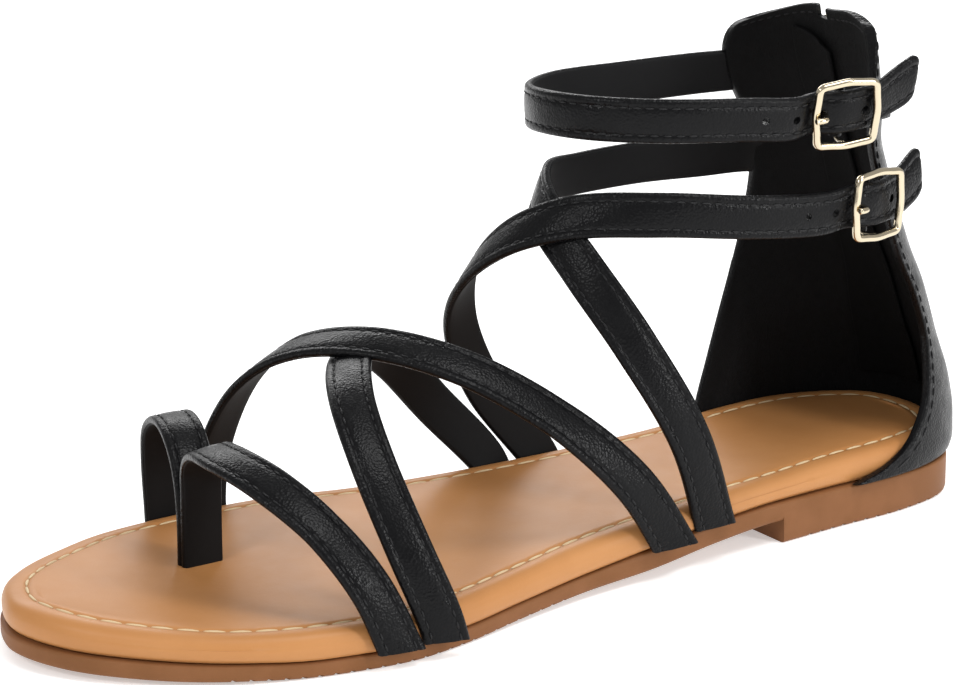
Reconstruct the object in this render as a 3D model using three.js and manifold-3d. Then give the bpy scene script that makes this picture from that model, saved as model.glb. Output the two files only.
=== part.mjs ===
// A flat gladiator sandal for the left foot, in millimetres with +Z up.
// The toe points along -Y and the outer side of the foot is +X. The origin is on the ground,
// under the middle of the heel. The sandal stands on its heel and on the ball of its outsole.

import * as THREE from 'three';
import { mergeVertices } from 'three/addons/utils/BufferGeometryUtils.js';
import Module from 'manifold-3d';

const wasm = await Module();
wasm.setup();

// ---------------------------------------------------------------- driving dimensions
const SOLE_LENGTH = 251;      // heel back to toe tip, along the foot
const HEEL_MIDDLE = 32;       // the origin's distance from the heel back
const HEEL_BREAST = 64;       // where the heel block ends and the arch begins
const CLEAR = 0.3;            // gap between pieces that lie against each other
const STRAP_WIDTH = 10.4;
const STRAP_THICK = 2.2;      // two folded layers and a lining
const COUNTER_WALL = 2.6;
const COUNTER_FOOT = 9.8;

const LEATHER = { color: 0x1b1b1d, roughness: 0.5, metalness: 0 };
const TAN_WRAP = { color: 0xc08a56, roughness: 0.5, metalness: 0 };
const SOLE_RUBBER = { color: 0x9c683f, roughness: 0.7, metalness: 0 };
const PALE_GOLD = { color: 0xe6d0a0, roughness: 0.25, metalness: 1 };
const ZIP_TAPE = { color: 0x161616, roughness: 0.8, metalness: 0 };

// ---------------------------------------------------------------- tables
// Lengths along the foot are measured from the heel back, across it from the centre line with the
// outer side positive, and heights from the ground.
function table(names, rows) {
  const keys = names.split(' ');
  return rows.map((row) => Object.fromEntries(keys.map((key, i) => [key, row[i]])));
}

// The footbed's outline: how far its outer and inner edges lie from the centre line.
const OUTLINE = table('along outer inner', [
  [0, 0.5, 0.5],
  [3, 13, -12],
  [10, 21, -18.5],
  [25, 25.5, -24.5],
  [45, 27, -25],
  [65, 29, -22.5],
  [85, 30.5, -23],
  [105, 32.5, -25.5],
  [125, 34.5, -30],
  [145, 38.5, -36.5],
  [162, 42.5, -43],
  [178, 45, -45.5],
  [194, 43, -46],
  [210, 38.5, -44],
  [224, 31.5, -38],
  [236.5, 21.5, -30],
  [244.8, 12.5, -21.5],
  [249.4, 3.5, -12.5],
  [SOLE_LENGTH, -5, -5],
]);

// The sole seen from the side: the outsole's underside, the seam where the footbed's wrap meets
// the outsole, and the footbed's top. The welt is how far the outsole stands outside the wrap.
const PROFILE = table('along under seam top welt', [
  [0, 5, 9.4, 17.2, 1.7],
  [35, 5.6, 9.8, 17.0, 0.9],
  [66, 5.6, 10.4, 16.2, 0.1],
  [85, 4.3, 9.4, 15.6, -0.3],
  [105, 2.4, 7.6, 14.6, -0.4],
  [125, 1.6, 5.9, 13.2, -0.6],
  [145, 0.7, 4.8, 11.8, -0.8],
  [165, 0, 4.0, 11.0, -0.8],
  [200, 0, 3.8, 10.5, -0.7],
  [215, 0.6, 4.5, 10.7, -0.3],
  [235, 1.3, 5.4, 11.9, 0.4],
  [SOLE_LENGTH, 2.2, 6.4, 13.6, 0.4],
]);

// Strap routes: points on each strap's middle line, and the turn of its face in degrees there.
const TOE_RING = table('across along up turn', [
  [-46.9, 189, 2, 0],
  [-47.1, 189.3, 12, 0],
  [-46.6, 190, 24, 0],
  [-42.5, 191.7, 33.5, 0],
  [-34.5, 193.8, 38, 0],
  [-25, 196.4, 37.8, 0],
  [-17.6, 198.3, 32.5, 0],
  [-14.6, 199, 24, 0],
  [-14.4, 199, 2, 0],
]);
const TOE_STRAP = table('across along up turn', [
  [46.5, 182.4, 2, -5],
  [42.5, 189, 19, -10],
  [34, 195.5, 31, -10],
  [21, 201, 38.5, 5],
  [6, 203.5, 41, 10],
  [-5, 201.5, 39, 5],
  [-11, 199.5, 33, 0],
  [-12.4, 199, 24, 0],
  [-12.4, 199, 2, 0],
]);
const CROSS_OVER = table('across along up turn', [
  [33.8, 98.3, 5, 0],
  [33.9, 113, 26, -7],
  [27.5, 130, 42.5, -15],
  [15.5, 147, 54, -3],
  [0, 161, 58, 10],
  [-16.5, 170.5, 54.5, 15],
  [-30, 175.5, 44, 10],
  [-40.5, 177.5, 28, 5],
  [-46.8, 177, 12, -3],
  [-46.9, 176.6, 2, -3],
]);
const CROSS_UNDER = table('across along up turn', [
  [46.6, 171, 2, 5],
  [41.8, 178.5, 26, 8],
  [31, 180.5, 43, 4],
  [16, 176.5, 53.2, 0],
  [-1, 166.5, 56.4, 2],
  [-17, 152.5, 53.4, 0],
  [-28.5, 137.5, 44, 0],
  [-33, 123.5, 29.5, 0],
  [-28.2, 110.3, 13, 0],
  [-27.4, 107.4, 5, 0],
]);
const INSTEP_UNDER = table('across along up turn', [
  [32.4, 85.6, 6, 0],
  [34.8, 96.6, 34, -4],
  [28, 107.8, 56.5, -4],
  [15.5, 115, 73.3, -2],
  [1, 115.5, 82.8, -3],
  [-12, 107.5, 85.8, -2],
  [-22, 91, 83.8, 2],
  [-26.6, 67, 82.5, 6],
  [-26.3, 48, 81.5, 8],
  [-25.2, 35.5, 81, 10],
]);
// The two buckled straps, from their buckle round the front of the leg. Their tails and the
// stretch under the buckle are worked out from the buckle's own place.
const INSTEP_OVER = table('across along up turn', [
  [32.2, 57, 80.6, 17],
  [30.6, 76, 82.2, 12],
  [23, 98, 84.3, 2],
  [10.5, 113.5, 83.2, -6],
  [-3.5, 121.5, 76.6, -7],
  [-17, 123.5, 65, -5],
  [-27, 119, 50, -7],
  [-30.2, 110, 32, -7],
  [-26, 96.4, 12.5, -8],
  [-25.2, 93.6, 6, -8],
]);
const ANKLE = table('across along up turn', [
  [32.4, 67, 104.5, 14],
  [31, 79, 105.6, 12],
  [24.5, 98, 106.5, 10],
  [13, 110, 106.6, 10],
  [-1.3, 113.2, 105.9, 10],
  [-15, 107.5, 104.3, 9],
  [-25, 93, 103.2, 8],
  [-28.6, 70.5, 102, 8],
  [-26.9, 50, 102, 8],
  [-24.7, 39, 102, 8],
]);

// Where each buckle sits: its middle, and how it is turned about its height, leaned and rolled.
const BUCKLES = table('level across along up yaw lean roll', [
  ['upper', 35.5, 53.9, 104.5, -12, 9, 2],
  ['lower', 34, 42.3, 81, 9, 0, -2],
]);
// The loose end of each buckled strap and its way through the buckle, in the buckle's own frame:
// back along the strap, up its width, and out from its face.
const LOOSE_ENDS = {
  upper: table('back rise out turn', [
    [18.4, 3.3, -6.4, 16],
    [14.6, 2.2, -5, 18],
    [11, 1.1, -3.7, 18],
    [7.6, 0.2, -2.9, 18],
    [0, 0, -1.6, 18],
    [-7.6, 0, -2.9, 18],
  ]),
  lower: table('back rise out turn', [
    [19, 3.5, -5.9, 12],
    [15.6, 2.1, -5, 12],
    [11.4, 0.8, -4, 12],
    [7.6, 0.3, -3.1, 12],
    [0, 0, -1.6, 17],
    [-7.6, 0, -2.9, 18],
  ]),
};
const TABS = {
  upper: table('across along up turn', [
    [30, 51.6, 104.8, 15],
    [28.9, 46.5, 104.8, 12],
    [28.6, 42, 104.6, 8],
    [27.7, 38, 104.3, 8],
    [26.1, 35.2, 104, 8],
  ]),
  lower: table('across along up turn', [
    [28, 40.5, 81.2, 10],
    [27.3, 38, 81.4, 10],
    [26.5, 35, 81, 10],
    [24.6, 31, 80.8, 10],
    [22.7, 28.4, 80.6, 10],
  ]),
};
const STRAP_HOLES = { upper: [75, 67, 58.2, 48.5], lower: [62.5, 54.5, 47.8, 36.5] };

// The counter's level sections: the outside of its back, its half widths, where it is widest, how
// square its corners are, and where its front edges come to on the outer and inner side.
const COUNTER = table('up back outer inner widest squareOut squareIn edgeOut edgeIn', [
  [COUNTER_FOOT, -3.2, 29.3, 27, 46, 2.4, 2.4, 44, 50],
  [13, -4.2, 29.5, 27.3, 45, 2.4, 2.4, 32, 49.5],
  [18, -4.2, 29.3, 27.5, 43, 2.35, 2.35, 23.5, 48.5],
  [28, -2.4, 28.6, 27.5, 40, 2.3, 2.3, 17.5, 45.5],
  [40, 2, 27.6, 27.3, 38, 2.2, 2.2, 16, 42],
  [52, 6.5, 27, 27, 38, 2.2, 2.2, 20, 38.5],
  [64, 12, 26.8, 26.8, 39, 2.05, 2.1, 26.5, 35.5],
  [76, 17, 26.8, 26.6, 41, 2, 2.1, 31.5, 34.3],
  [90, 21.8, 26.4, 26.4, 43, 1.9, 2, 36, 37],
  [103, 26, 28, 26.2, 45, 2.3, 2, 38.5, 42.5],
  [122.5, 31.5, 29, 25.8, 48, 2.6, 2, 39, 45.5],
]);
// The counter's rim, from its outer front edge (-1) over the back (0) to its inner one (1).
const RIM_HEIGHT = table('around up', [
  [-1, 120.5],
  [-0.5, 121.8],
  [-0.03, 121],
  [0.08, 121.6],
  [0.25, 120.9],
  [0.5, 119],
  [1, 115],
]);

// ---------------------------------------------------------------- curves through the tables
// A smooth column of a table that never swings past its rows (a monotone cubic).
function column(rows, against, wanted) {
  const x = rows.map((row) => row[against]);
  const y = rows.map((row) => row[wanted]);
  const slope = x.slice(1).map((x1, i) => (y[i + 1] - y[i]) / (x1 - x[i]));
  const tangent = x.map((_, i) => {
    if (i === 0) return slope[0];
    if (i === x.length - 1) return slope[i - 1];
    const [before, after] = [slope[i - 1], slope[i]];
    return before * after <= 0 ? 0 : (2 * before * after) / (before + after);
  });
  return (at) => {
    const clamped = THREE.MathUtils.clamp(at, x[0], x.at(-1));
    let i = 0;
    while (i < x.length - 2 && clamped > x[i + 1]) i += 1;
    const width = x[i + 1] - x[i];
    const t = (clamped - x[i]) / width;
    return y[i] * (1 + 2 * t) * (1 - t) ** 2 + y[i + 1] * t * t * (3 - 2 * t)
      + width * (tangent[i] * t * (1 - t) ** 2 - tangent[i + 1] * t * t * (1 - t));
  };
}

const place = (across, along, up) => new THREE.Vector3(across, HEEL_MIDDLE - along, up);
const alongOf = (point) => HEEL_MIDDLE - point.y;
const under = column(PROFILE, 'along', 'under');
const seam = column(PROFILE, 'along', 'seam');
const top = column(PROFILE, 'along', 'top');
const welt = column(PROFILE, 'along', 'welt');

// ---------------------------------------------------------------- solids
function solidOf(points, triangles) {
  const geometry = new THREE.BufferGeometry();
  geometry.setAttribute('position', new THREE.Float32BufferAttribute(points.flatMap((p) => p.toArray()), 3));
  geometry.setIndex(triangles.flat());
  return manifoldOf(geometry);
}

function manifoldOf(geometry) {
  const bare = geometry.clone();
  bare.deleteAttribute('normal');
  bare.deleteAttribute('uv');
  const merged = mergeVertices(bare, 1e-4);
  return new wasm.Manifold(new wasm.Mesh({
    numProp: 3,
    vertProperties: new Float32Array(merged.attributes.position.array),
    triVerts: new Uint32Array(merged.index.array),
  }));
}

function geometryOf(solid) {
  const mesh = solid.getMesh();
  const geometry = new THREE.BufferGeometry();
  geometry.setAttribute('position', new THREE.BufferAttribute(new Float32Array(mesh.vertProperties), 3));
  geometry.setIndex(new THREE.BufferAttribute(new Uint32Array(mesh.triVerts), 1));
  geometry.computeVertexNormals();
  return geometry;
}

const group = new THREE.Group();
function addPiece(name, geometry, finish) {
  const mesh = new THREE.Mesh(geometry, new THREE.MeshStandardMaterial(finish));
  mesh.name = name;
  group.add(mesh);
  return mesh;
}

// ---------------------------------------------------------------- sole
// Points round the outline at even steps: outer side from heel to toe, then inner side back.
const STEPS_PER_ROW = 2;
const OUTLINE_CURVE = new THREE.CatmullRomCurve3(
  [
    ...OUTLINE.map((row) => place(row.outer, row.along, 0)),
    ...OUTLINE.slice(1, -1).reverse().map((row) => place(row.inner, row.along, 0)),
  ],
  true,
  'centripetal',
);
const RIM = (OUTLINE.length - 1) * 2 * STEPS_PER_ROW;

// One level ring of the sole: the outline drawn in by inset, at the height that its side view gives.
// Both follow the place along the foot.
function ring(inset, height) {
  return Array.from({ length: RIM }, (_, i) => {
    const point = OUTLINE_CURVE.getPoint(i / RIM);
    const ahead = OUTLINE_CURVE.getPoint(((i + 0.25) % RIM) / RIM);
    const behind = OUTLINE_CURVE.getPoint(((i - 0.25 + RIM) % RIM) / RIM);
    const run = ahead.sub(behind).normalize();
    const along = alongOf(point);
    point.x += run.y * inset(along);
    point.y -= run.x * inset(along);
    point.z = height(along);
    return point;
  });
}

// A solid between rings from the bottom up, its two ends closed by rungs from side to side.
function ringLoft(rings) {
  const points = rings.flat();
  const triangles = [];
  rings.slice(1).forEach((_, level) => {
    for (let i = 0; i < RIM; i += 1) {
      const a = level * RIM + i;
      const b = level * RIM + ((i + 1) % RIM);
      triangles.push([a, b + RIM, b], [a, a + RIM, b + RIM]);
    }
  });
  const last = (rings.length - 1) * RIM;
  for (let i = 0; i < RIM / 2; i += 1) {
    const [a, b] = [i, i + 1];
    const [c, d] = [(RIM - i - 1) % RIM, (RIM - i) % RIM];
    if (b !== c) {
      triangles.push([a, b, c], [last + a, last + c, last + b]);
    }
    if (a !== d) {
      triangles.push([a, c, d], [last + a, last + d, last + c]);
    }
  }
  return solidOf(points, triangles);
}

const SOLE_ROUND = 1;
const flexSole = ringLoft([
  ring((s) => SOLE_ROUND - welt(s), (s) => under(s)),
  ring((s) => -welt(s), (s) => under(s) + SOLE_ROUND),
  ring((s) => -welt(s), (s) => seam(s) - CLEAR / 2),
]);
const heelStack = ringLoft([
  ring((s) => SOLE_ROUND - welt(s), () => 0),
  ring((s) => -welt(s), () => SOLE_ROUND),
  ring((s) => -welt(s), () => 8),
]);
const heelCut = new THREE.BoxGeometry(120, HEEL_BREAST + 20, 30)
  .translate(0, HEEL_MIDDLE - HEEL_BREAST + (HEEL_BREAST + 20) / 2, 5);
const outsole = flexSole.add(heelStack.intersect(manifoldOf(heelCut)));
addPiece('outsole', geometryOf(outsole), SOLE_RUBBER);

// The footbed bulges like a folded edge: full width low down, rolling over into its top.
function footbedSolid(grow) {
  return ringLoft([
    ring(() => 1.8 - grow, (s) => seam(s) + CLEAR / 2 - grow),
    ring(() => 0.5 - grow, (s) => seam(s) + 1.2 - grow),
    ring(() => -grow, (s) => THREE.MathUtils.lerp(seam(s), top(s), 0.45)),
    ring(() => 0.4 - grow, (s) => top(s) - 1.9 + grow),
    ring(() => 1.7 - grow, (s) => top(s) - 0.6 + grow),
    ring(() => 4.2 - grow, (s) => top(s) + grow),
  ]);
}
const footbedKeepOut = footbedSolid(CLEAR);
// Everything that ends on the seam is trimmed level with it, by what lies below it and well outside.
const OUTSIDE = 16;
const belowSeam = ringLoft([
  ring(() => -OUTSIDE, () => -OUTSIDE),
  ring(() => -OUTSIDE, (s) => seam(s) + CLEAR),
]);

// ---------------------------------------------------------------- straps
// A strap faces away from two lines inside the foot: one along the foot, and one up the leg.
const FOOT_LINE_UP = 12;
const LEG_LINE_ALONG = 74;
function awayFromFoot(point) {
  const fromFoot = new THREE.Vector3(point.x, 0, point.z - FOOT_LINE_UP);
  const legUp = Math.max(point.z, FOOT_LINE_UP);
  const fromLeg = point.clone().sub(place(0, LEG_LINE_ALONG, legUp));
  const face = fromFoot.divideScalar(fromFoot.length() ** 3);
  return face.add(fromLeg.divideScalar(fromLeg.length() ** 3));
}

// The ring faces away from the middle of the big toe instead.
const BIG_TOE = { across: -30.5, up: 20 };
function awayFromToe(point) {
  return new THREE.Vector3(point.x - BIG_TOE.across, 0, point.z - BIG_TOE.up);
}

// Frames along a route: where the strap is, which way it runs, faces and widens.
function framesOf(route, count, away = awayFromFoot) {
  const curve = new THREE.CatmullRomCurve3(
    route.map((row) => place(row.across, row.along, row.up)),
    false,
    'centripetal',
  );
  return Array.from({ length: count + 1 }, (_, i) => {
    const t = i / count;
    const at = curve.getPoint(t);
    const run = curve.getTangent(t);
    const step = t * (route.length - 1);
    const row = Math.min(Math.floor(step), route.length - 2);
    const turn = THREE.MathUtils.lerp(route[row].turn, route[row + 1].turn, step - row);
    const face = away(at);
    face.addScaledVector(run, -face.dot(run)).normalize();
    face.applyAxisAngle(run, THREE.MathUtils.degToRad(-turn));
    return { at, run, face, side: face.clone().cross(run) };
  });
}

// A strap's section: a flat band with softened corners. Its middle is lift above the route.
// A loose end is cut at a slant, slant longer on its upper edge, with its two corners rounded off.
const TIP_ROUND = 1.6;
function strapSolid(route, options = {}) {
  const { width = STRAP_WIDTH, thick = STRAP_THICK, lift = 0, count = 24, away, slant = 0 } = options;
  const soft = thick * 0.28;
  const [w, h] = [width / 2, thick / 2];
  const section = [
    [-w, -h + soft], [-w + soft, -h], [w - soft, -h], [w, -h + soft],
    [w, h - soft], [w - soft, h], [-w + soft, h], [-w, h - soft],
  ];
  const frames = framesOf(route, count, away);
  const ringAt = ({ at, run, face, side }, narrow, past) => section.map(([across, out]) => at.clone()
    .addScaledVector(side, across * narrow)
    .addScaledVector(face, out + lift)
    .addScaledVector(run, -past - slant * (0.5 - across / width)));
  const rings = frames.map((frame, i) => ringAt(frame, 1, i === 0 || slant === 0 ? 0 : -slant / 2));
  if (slant > 0) {
    rings[0] = ringAt(frames[0], 1, 0);
    rings.unshift(ringAt(frames[0], 1 - 2 * TIP_ROUND / width, TIP_ROUND));
  }
  return tubeSolid(rings.flat(), section.length, rings.length);
}

function tubeSolid(points, around, count) {
  const triangles = [];
  for (let row = 0; row < count - 1; row += 1) {
    for (let i = 0; i < around; i += 1) {
      const a = row * around + i;
      const b = row * around + ((i + 1) % around);
      triangles.push([a, b, b + around], [a, b + around, a + around]);
    }
  }
  const last = (count - 1) * around;
  for (let i = 1; i < around - 1; i += 1) {
    triangles.push([0, i + 1, i], [last, last + i, last + i + 1]);
  }
  return solidOf(points, triangles);
}

// A strap's foot is thinned to a tab that turns in under the footbed and is cemented there. Both
// layers of the toe post go down through a slot in the footbed instead.
const FOOT_TABS = table('route end', [
  [TOE_RING, 0],
  [TOE_STRAP, 0],
  [CROSS_OVER, 0],
  [CROSS_OVER, 1],
  [CROSS_UNDER, 0],
  [CROSS_UNDER, 1],
  [INSTEP_UNDER, 0],
  [INSTEP_OVER, 1],
]);
const TAB_REACH = 10;
const TAB_WAIST = 8.6;        // narrower than its strap
const SKIVED = 1.2;
const TAB_DEEP = 4;           // cut off at the seam, or open to it in the footbed
function footTab({ route, end }, grow = 0) {
  const { at, face } = framesOf(route, 1, route === TOE_RING ? awayFromToe : awayFromFoot)[end];
  const tab = new THREE.BoxGeometry(TAB_REACH + 2 * grow, TAB_WAIST + 2 * grow, TAB_DEEP);
  tab.rotateZ(Math.atan2(face.y, face.x));
  const middle = at.clone().addScaledVector(face.clone().setZ(0).normalize(), SKIVED / 2 - TAB_REACH / 2);
  tab.translate(middle.x, middle.y, seam(alongOf(at)) + CLEAR / 2 + SKIVED + grow - TAB_DEEP / 2);
  return grow > 0 ? manifoldOf(tab) : manifoldOf(tab).subtract(belowSeam);
}

function toePost(grow = 0) {
  const [ring, strap] = [TOE_RING.at(-1), TOE_STRAP.at(-1)];
  const thick = strap.across - ring.across + STRAP_THICK;
  const [bottom, head] = [seam(ring.along) + CLEAR / 2 - grow, top(ring.along) + CLEAR + 1];
  const post = new THREE.BoxGeometry(thick + 2 * grow, STRAP_WIDTH + 2 * grow, head - bottom);
  const middle = place((ring.across + strap.across) / 2, ring.along, (head + bottom) / 2);
  return manifoldOf(post.translate(middle.x, middle.y, middle.z));
}

const tabsOf = (...routes) => FOOT_TABS.filter(({ route }) => routes.includes(route))
  .map((row) => footTab(row));
const joinAll = (solids) => solids.reduce((all, solid) => all.add(solid));
const footbed = FOOT_TABS.reduce((rest, row) => rest.subtract(footTab(row, CLEAR)), footbedSolid(0));
addPiece('footbed', geometryOf(footbed.subtract(toePost(CLEAR))), TAN_WRAP);

// ---------------------------------------------------------------- heel counter
const counterColumn = Object.fromEntries(
  ['back', 'outer', 'inner', 'widest', 'squareOut', 'squareIn', 'edgeOut', 'edgeIn']
    .map((name) => [name, column(COUNTER, 'up', name)]),
);
const rimHeight = column(RIM_HEIGHT, 'around', 'up');
const COUNTER_LEVELS = [
  0, 0.02, 0.05, 0.09, 0.16, 0.25, 0.36, 0.47, 0.59, 0.71, 0.81, 0.88, 0.93, 0.965, 0.985, 1,
];
const COUNTER_COLUMNS = 20;
const CORNER_ROUND = { out: 15, in: 9 };    // the rim's front corners are cut round
const HALF_GIRTH = 32;        // from the back to a front edge, round the bend

// A point of the counter: level is 0 at its foot and 1 on its rim, around is -1 on its outer front
// edge, 0 at the back and 1 on the inner one. depth is how far inside the outer face it lies.
function counterPoint(level, around, depth) {
  const outer = around < 0;
  const rim = rimHeight(around);
  const up = THREE.MathUtils.lerp(COUNTER_FOOT, rim, level);
  const value = (name) => counterColumn[name](up);
  const half = value(outer ? 'outer' : 'inner') - depth;
  const back = value('back') + depth;
  const reach = value('widest') - back;
  const power = value(outer ? 'squareOut' : 'squareIn') / 2;
  const ahead = (value(outer ? 'edgeOut' : 'edgeIn') - back) / reach;
  const edgeTurn = ahead < 1 ? Math.acos((1 - ahead) ** power) / (Math.PI / 2) : ahead;
  const round = outer ? CORNER_ROUND.out : CORNER_ROUND.in;
  const overCorner = Math.max(up - (rim - round), 0);
  const cut = round - Math.sqrt(round ** 2 - overCorner ** 2);
  const turn = Math.abs(around) * edgeTurn * (1 - cut / HALF_GIRTH);
  const bend = Math.min(turn, 1) * Math.PI / 2;
  const along = turn < 1 ? back + reach * (1 - Math.cos(bend) ** (1 / power)) : back + reach * turn;
  const across = half * Math.sin(bend) ** (1 / power);
  return place(outer ? across : -across, along, up);
}

function counterSolid(grow) {
  const layers = [-grow, COUNTER_WALL + grow];
  const wide = COUNTER_COLUMNS + 1;
  const high = COUNTER_LEVELS.length;
  const points = layers.flatMap((depth) => COUNTER_LEVELS.flatMap((level) => Array.from(
    { length: wide },
    (_, i) => counterPoint(level, (2 * i / COUNTER_COLUMNS - 1) * (1 + grow / HALF_GIRTH), depth),
  )));
  const inside = wide * high;
  const triangles = [];
  const quad = (a, b, c, d) => triangles.push([a, b, c], [a, c, d]);
  for (let row = 0; row < high - 1; row += 1) {
    for (let i = 0; i < COUNTER_COLUMNS; i += 1) {
      const a = row * wide + i;
      quad(a, a + 1, a + 1 + wide, a + wide);
      quad(inside + a, inside + a + wide, inside + a + 1 + wide, inside + a + 1);
    }
    const first = row * wide;
    const last = first + COUNTER_COLUMNS;
    quad(first, first + wide, inside + first + wide, inside + first);
    quad(last, inside + last, inside + last + wide, last + wide);
  }
  for (let i = 0; i < COUNTER_COLUMNS; i += 1) {
    const high0 = (high - 1) * wide + i;
    quad(i, inside + i, inside + i + 1, i + 1);
    quad(high0, high0 + 1, inside + high0 + 1, inside + high0);
  }
  return solidOf(points, triangles);
}
const counterKeepOut = counterSolid(CLEAR);

// ---------------------------------------------------------------- back zip
// The tape lies in a shallow groove down the middle of the counter's back.
const ZIP_WIDTH = 9;
const ZIP_GROOVE = 1.2;
const ZIP_FOOT = 22;
const ZIP_HEAD = 118;
const ZIP_MOUTH = { width: 3.2, foot: 118.4 };    // the slit between the rim's two halves
const ZIP_STEPS = 14;
const BEYOND = 4;             // how far a cutter reaches past what it cuts

// A strip down the counter's back, from depth inside its outer face to proud of it.
function backStrip(width, depth, proud, foot, head) {
  const points = Array.from({ length: ZIP_STEPS + 1 }, (_, i) => {
    const up = THREE.MathUtils.lerp(foot, head, i / ZIP_STEPS);
    const back = counterColumn.back(up);
    return [
      place(-width / 2, back + depth, up),
      place(width / 2, back + depth, up),
      place(width / 2, back - proud, up),
      place(-width / 2, back - proud, up),
    ];
  });
  return tubeSolid(points.flat(), 4, ZIP_STEPS + 1);
}

const mouth = new THREE.BoxGeometry(ZIP_MOUTH.width, 4 * COUNTER_WALL, 2 * BEYOND);
const mouthPlace = place(0, counterColumn.back(ZIP_MOUTH.foot), ZIP_MOUTH.foot + BEYOND);
mouth.translate(mouthPlace.x, mouthPlace.y, mouthPlace.z);

const heelCounter = counterSolid(0)
  .subtract(footbedKeepOut.add(belowSeam))
  .subtract(manifoldOf(mouth))
  .subtract(backStrip(ZIP_WIDTH + 2 * CLEAR, ZIP_GROOVE, BEYOND, ZIP_FOOT - CLEAR, ZIP_HEAD + 2 * BEYOND));
addPiece('heel_counter', geometryOf(heelCounter), LEATHER);
addPiece('zip_tape', geometryOf(backStrip(ZIP_WIDTH, ZIP_GROOVE - CLEAR, 0, ZIP_FOOT, ZIP_HEAD)), ZIP_TAPE);

// ---------------------------------------------------------------- straps on the foot
// A join that leaves a sliver past a cut keeps its main body.
function mainBody(solid) {
  return solid.decompose().reduce((best, body) => (body.volume() > best.volume() ? body : best));
}

const toeStraps = strapSolid(TOE_RING, { away: awayFromToe })
  .add(strapSolid(TOE_STRAP))
  .subtract(footbedKeepOut.subtract(toePost()).add(belowSeam));
const toePiece = joinAll([mainBody(toeStraps), ...tabsOf(TOE_RING, TOE_STRAP)]);
addPiece('upper_toe_straps', geometryOf(toePiece), LEATHER);
const crossStraps = strapSolid(CROSS_OVER, { lift: 0.9 })
  .add(strapSolid(CROSS_UNDER, { lift: -0.6 }))
  .subtract(footbedKeepOut.add(belowSeam));
const crossEnds = tabsOf(CROSS_OVER, CROSS_UNDER);
addPiece('upper_cross_straps', geometryOf(joinAll([mainBody(crossStraps), ...crossEnds])), LEATHER);

// ---------------------------------------------------------------- buckled straps
// A buckle's own frame has +X back along the strap, +Y up its width and +Z out from the leg.
const OUT_OF_LEG = new THREE.Matrix4().makeBasis(
  new THREE.Vector3(0, 1, 0),
  new THREE.Vector3(0, 0, 1),
  new THREE.Vector3(1, 0, 0),
);
function buckleFrame(row) {
  const frame = new THREE.Group();
  frame.position.copy(place(row.across, row.along, row.up));
  frame.quaternion.setFromRotationMatrix(OUT_OF_LEG);
  frame.rotateY(THREE.MathUtils.degToRad(row.yaw));
  frame.rotateX(THREE.MathUtils.degToRad(row.lean));
  frame.rotateZ(THREE.MathUtils.degToRad(row.roll));
  frame.updateMatrix();
  return frame;
}

// The route of a buckled strap: tail, the stretch through the buckle, then round the leg.
const TIP_SLANT = { upper: 2.8, lower: 3.6 };
function buckledRoute(row, rest) {
  const frame = buckleFrame(row);
  const inFrame = LOOSE_ENDS[row.level].map(({ back, rise, out, turn }) => {
    const point = new THREE.Vector3(back, rise, out).applyMatrix4(frame.matrix);
    return { across: point.x, along: alongOf(point), up: point.z, turn };
  });
  return [...inFrame, ...rest];
}

// Round holes through a strap, square to its face, at their places along the foot.
const HOLE_RADIUS = 1.3;
function punched(solid, route, places) {
  const frames = framesOf(route, 240).filter(({ at }) => at.x > 0);
  return places.reduce((rest, along) => {
    const near = frames.reduce((best, frame) => (
      Math.abs(alongOf(frame.at) - along) < Math.abs(alongOf(best.at) - along) ? frame : best));
    const punch = new THREE.CylinderGeometry(HOLE_RADIUS, HOLE_RADIUS, 3 * STRAP_THICK, 8);
    punch.applyQuaternion(new THREE.Quaternion().setFromUnitVectors(new THREE.Vector3(0, 1, 0), near.face));
    punch.translate(near.at.x, near.at.y, near.at.z);
    return rest.subtract(manifoldOf(punch));
  }, solid);
}

const [UPPER, LOWER] = BUCKLES;
const BUCKLED = { upper: buckledRoute(UPPER, ANKLE), lower: buckledRoute(LOWER, INSTEP_OVER) };
const ankleStrap = strapSolid(BUCKLED.upper, { count: 40, slant: TIP_SLANT.upper });
const ankle = punched(ankleStrap, BUCKLED.upper, STRAP_HOLES.upper);
addPiece('upper_ankle_strap', geometryOf(mainBody(ankle.subtract(counterKeepOut))), LEATHER);
const instepOver = strapSolid(BUCKLED.lower, { count: 40, slant: TIP_SLANT.lower });
const instep = punched(instepOver, BUCKLED.lower, STRAP_HOLES.lower)
  .add(strapSolid(INSTEP_UNDER, { lift: -1.3 }))
  .subtract(footbedKeepOut.add(belowSeam))
  .subtract(counterKeepOut);
const instepEnds = tabsOf(INSTEP_UNDER, INSTEP_OVER);
addPiece('upper_instep_straps', geometryOf(joinAll([mainBody(instep), ...instepEnds])), LEATHER);

// ---------------------------------------------------------------- buckles
const BUCKLE = 16.5;          // outside width and height
const WIRE = 1.9;
const BUCKLE_CORNER = { out: 2.4, in: 1.2 };
const BAR_RADIUS = 0.8;
const BAR_OUT = -5.2;         // the middle bar hangs below the frame, under the strap
const BOW = 0.6;              // the frame's bars bulge outwards

// A square with round corners and bulging sides.
function softSquare(half, corner, bow) {
  const shape = new THREE.Shape();
  const flat = half - corner;
  shape.moveTo(flat, -half);
  for (let side = 0; side < 4; side += 1) {
    const turned = (x, y) => [[x, y], [-y, x], [-x, -y], [y, -x]][side];
    shape.quadraticCurveTo(...turned(half, -half), ...turned(half, -flat));
    shape.quadraticCurveTo(...turned(half + 2 * bow, 0), ...turned(half, flat));
  }
  return shape;
}

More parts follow.
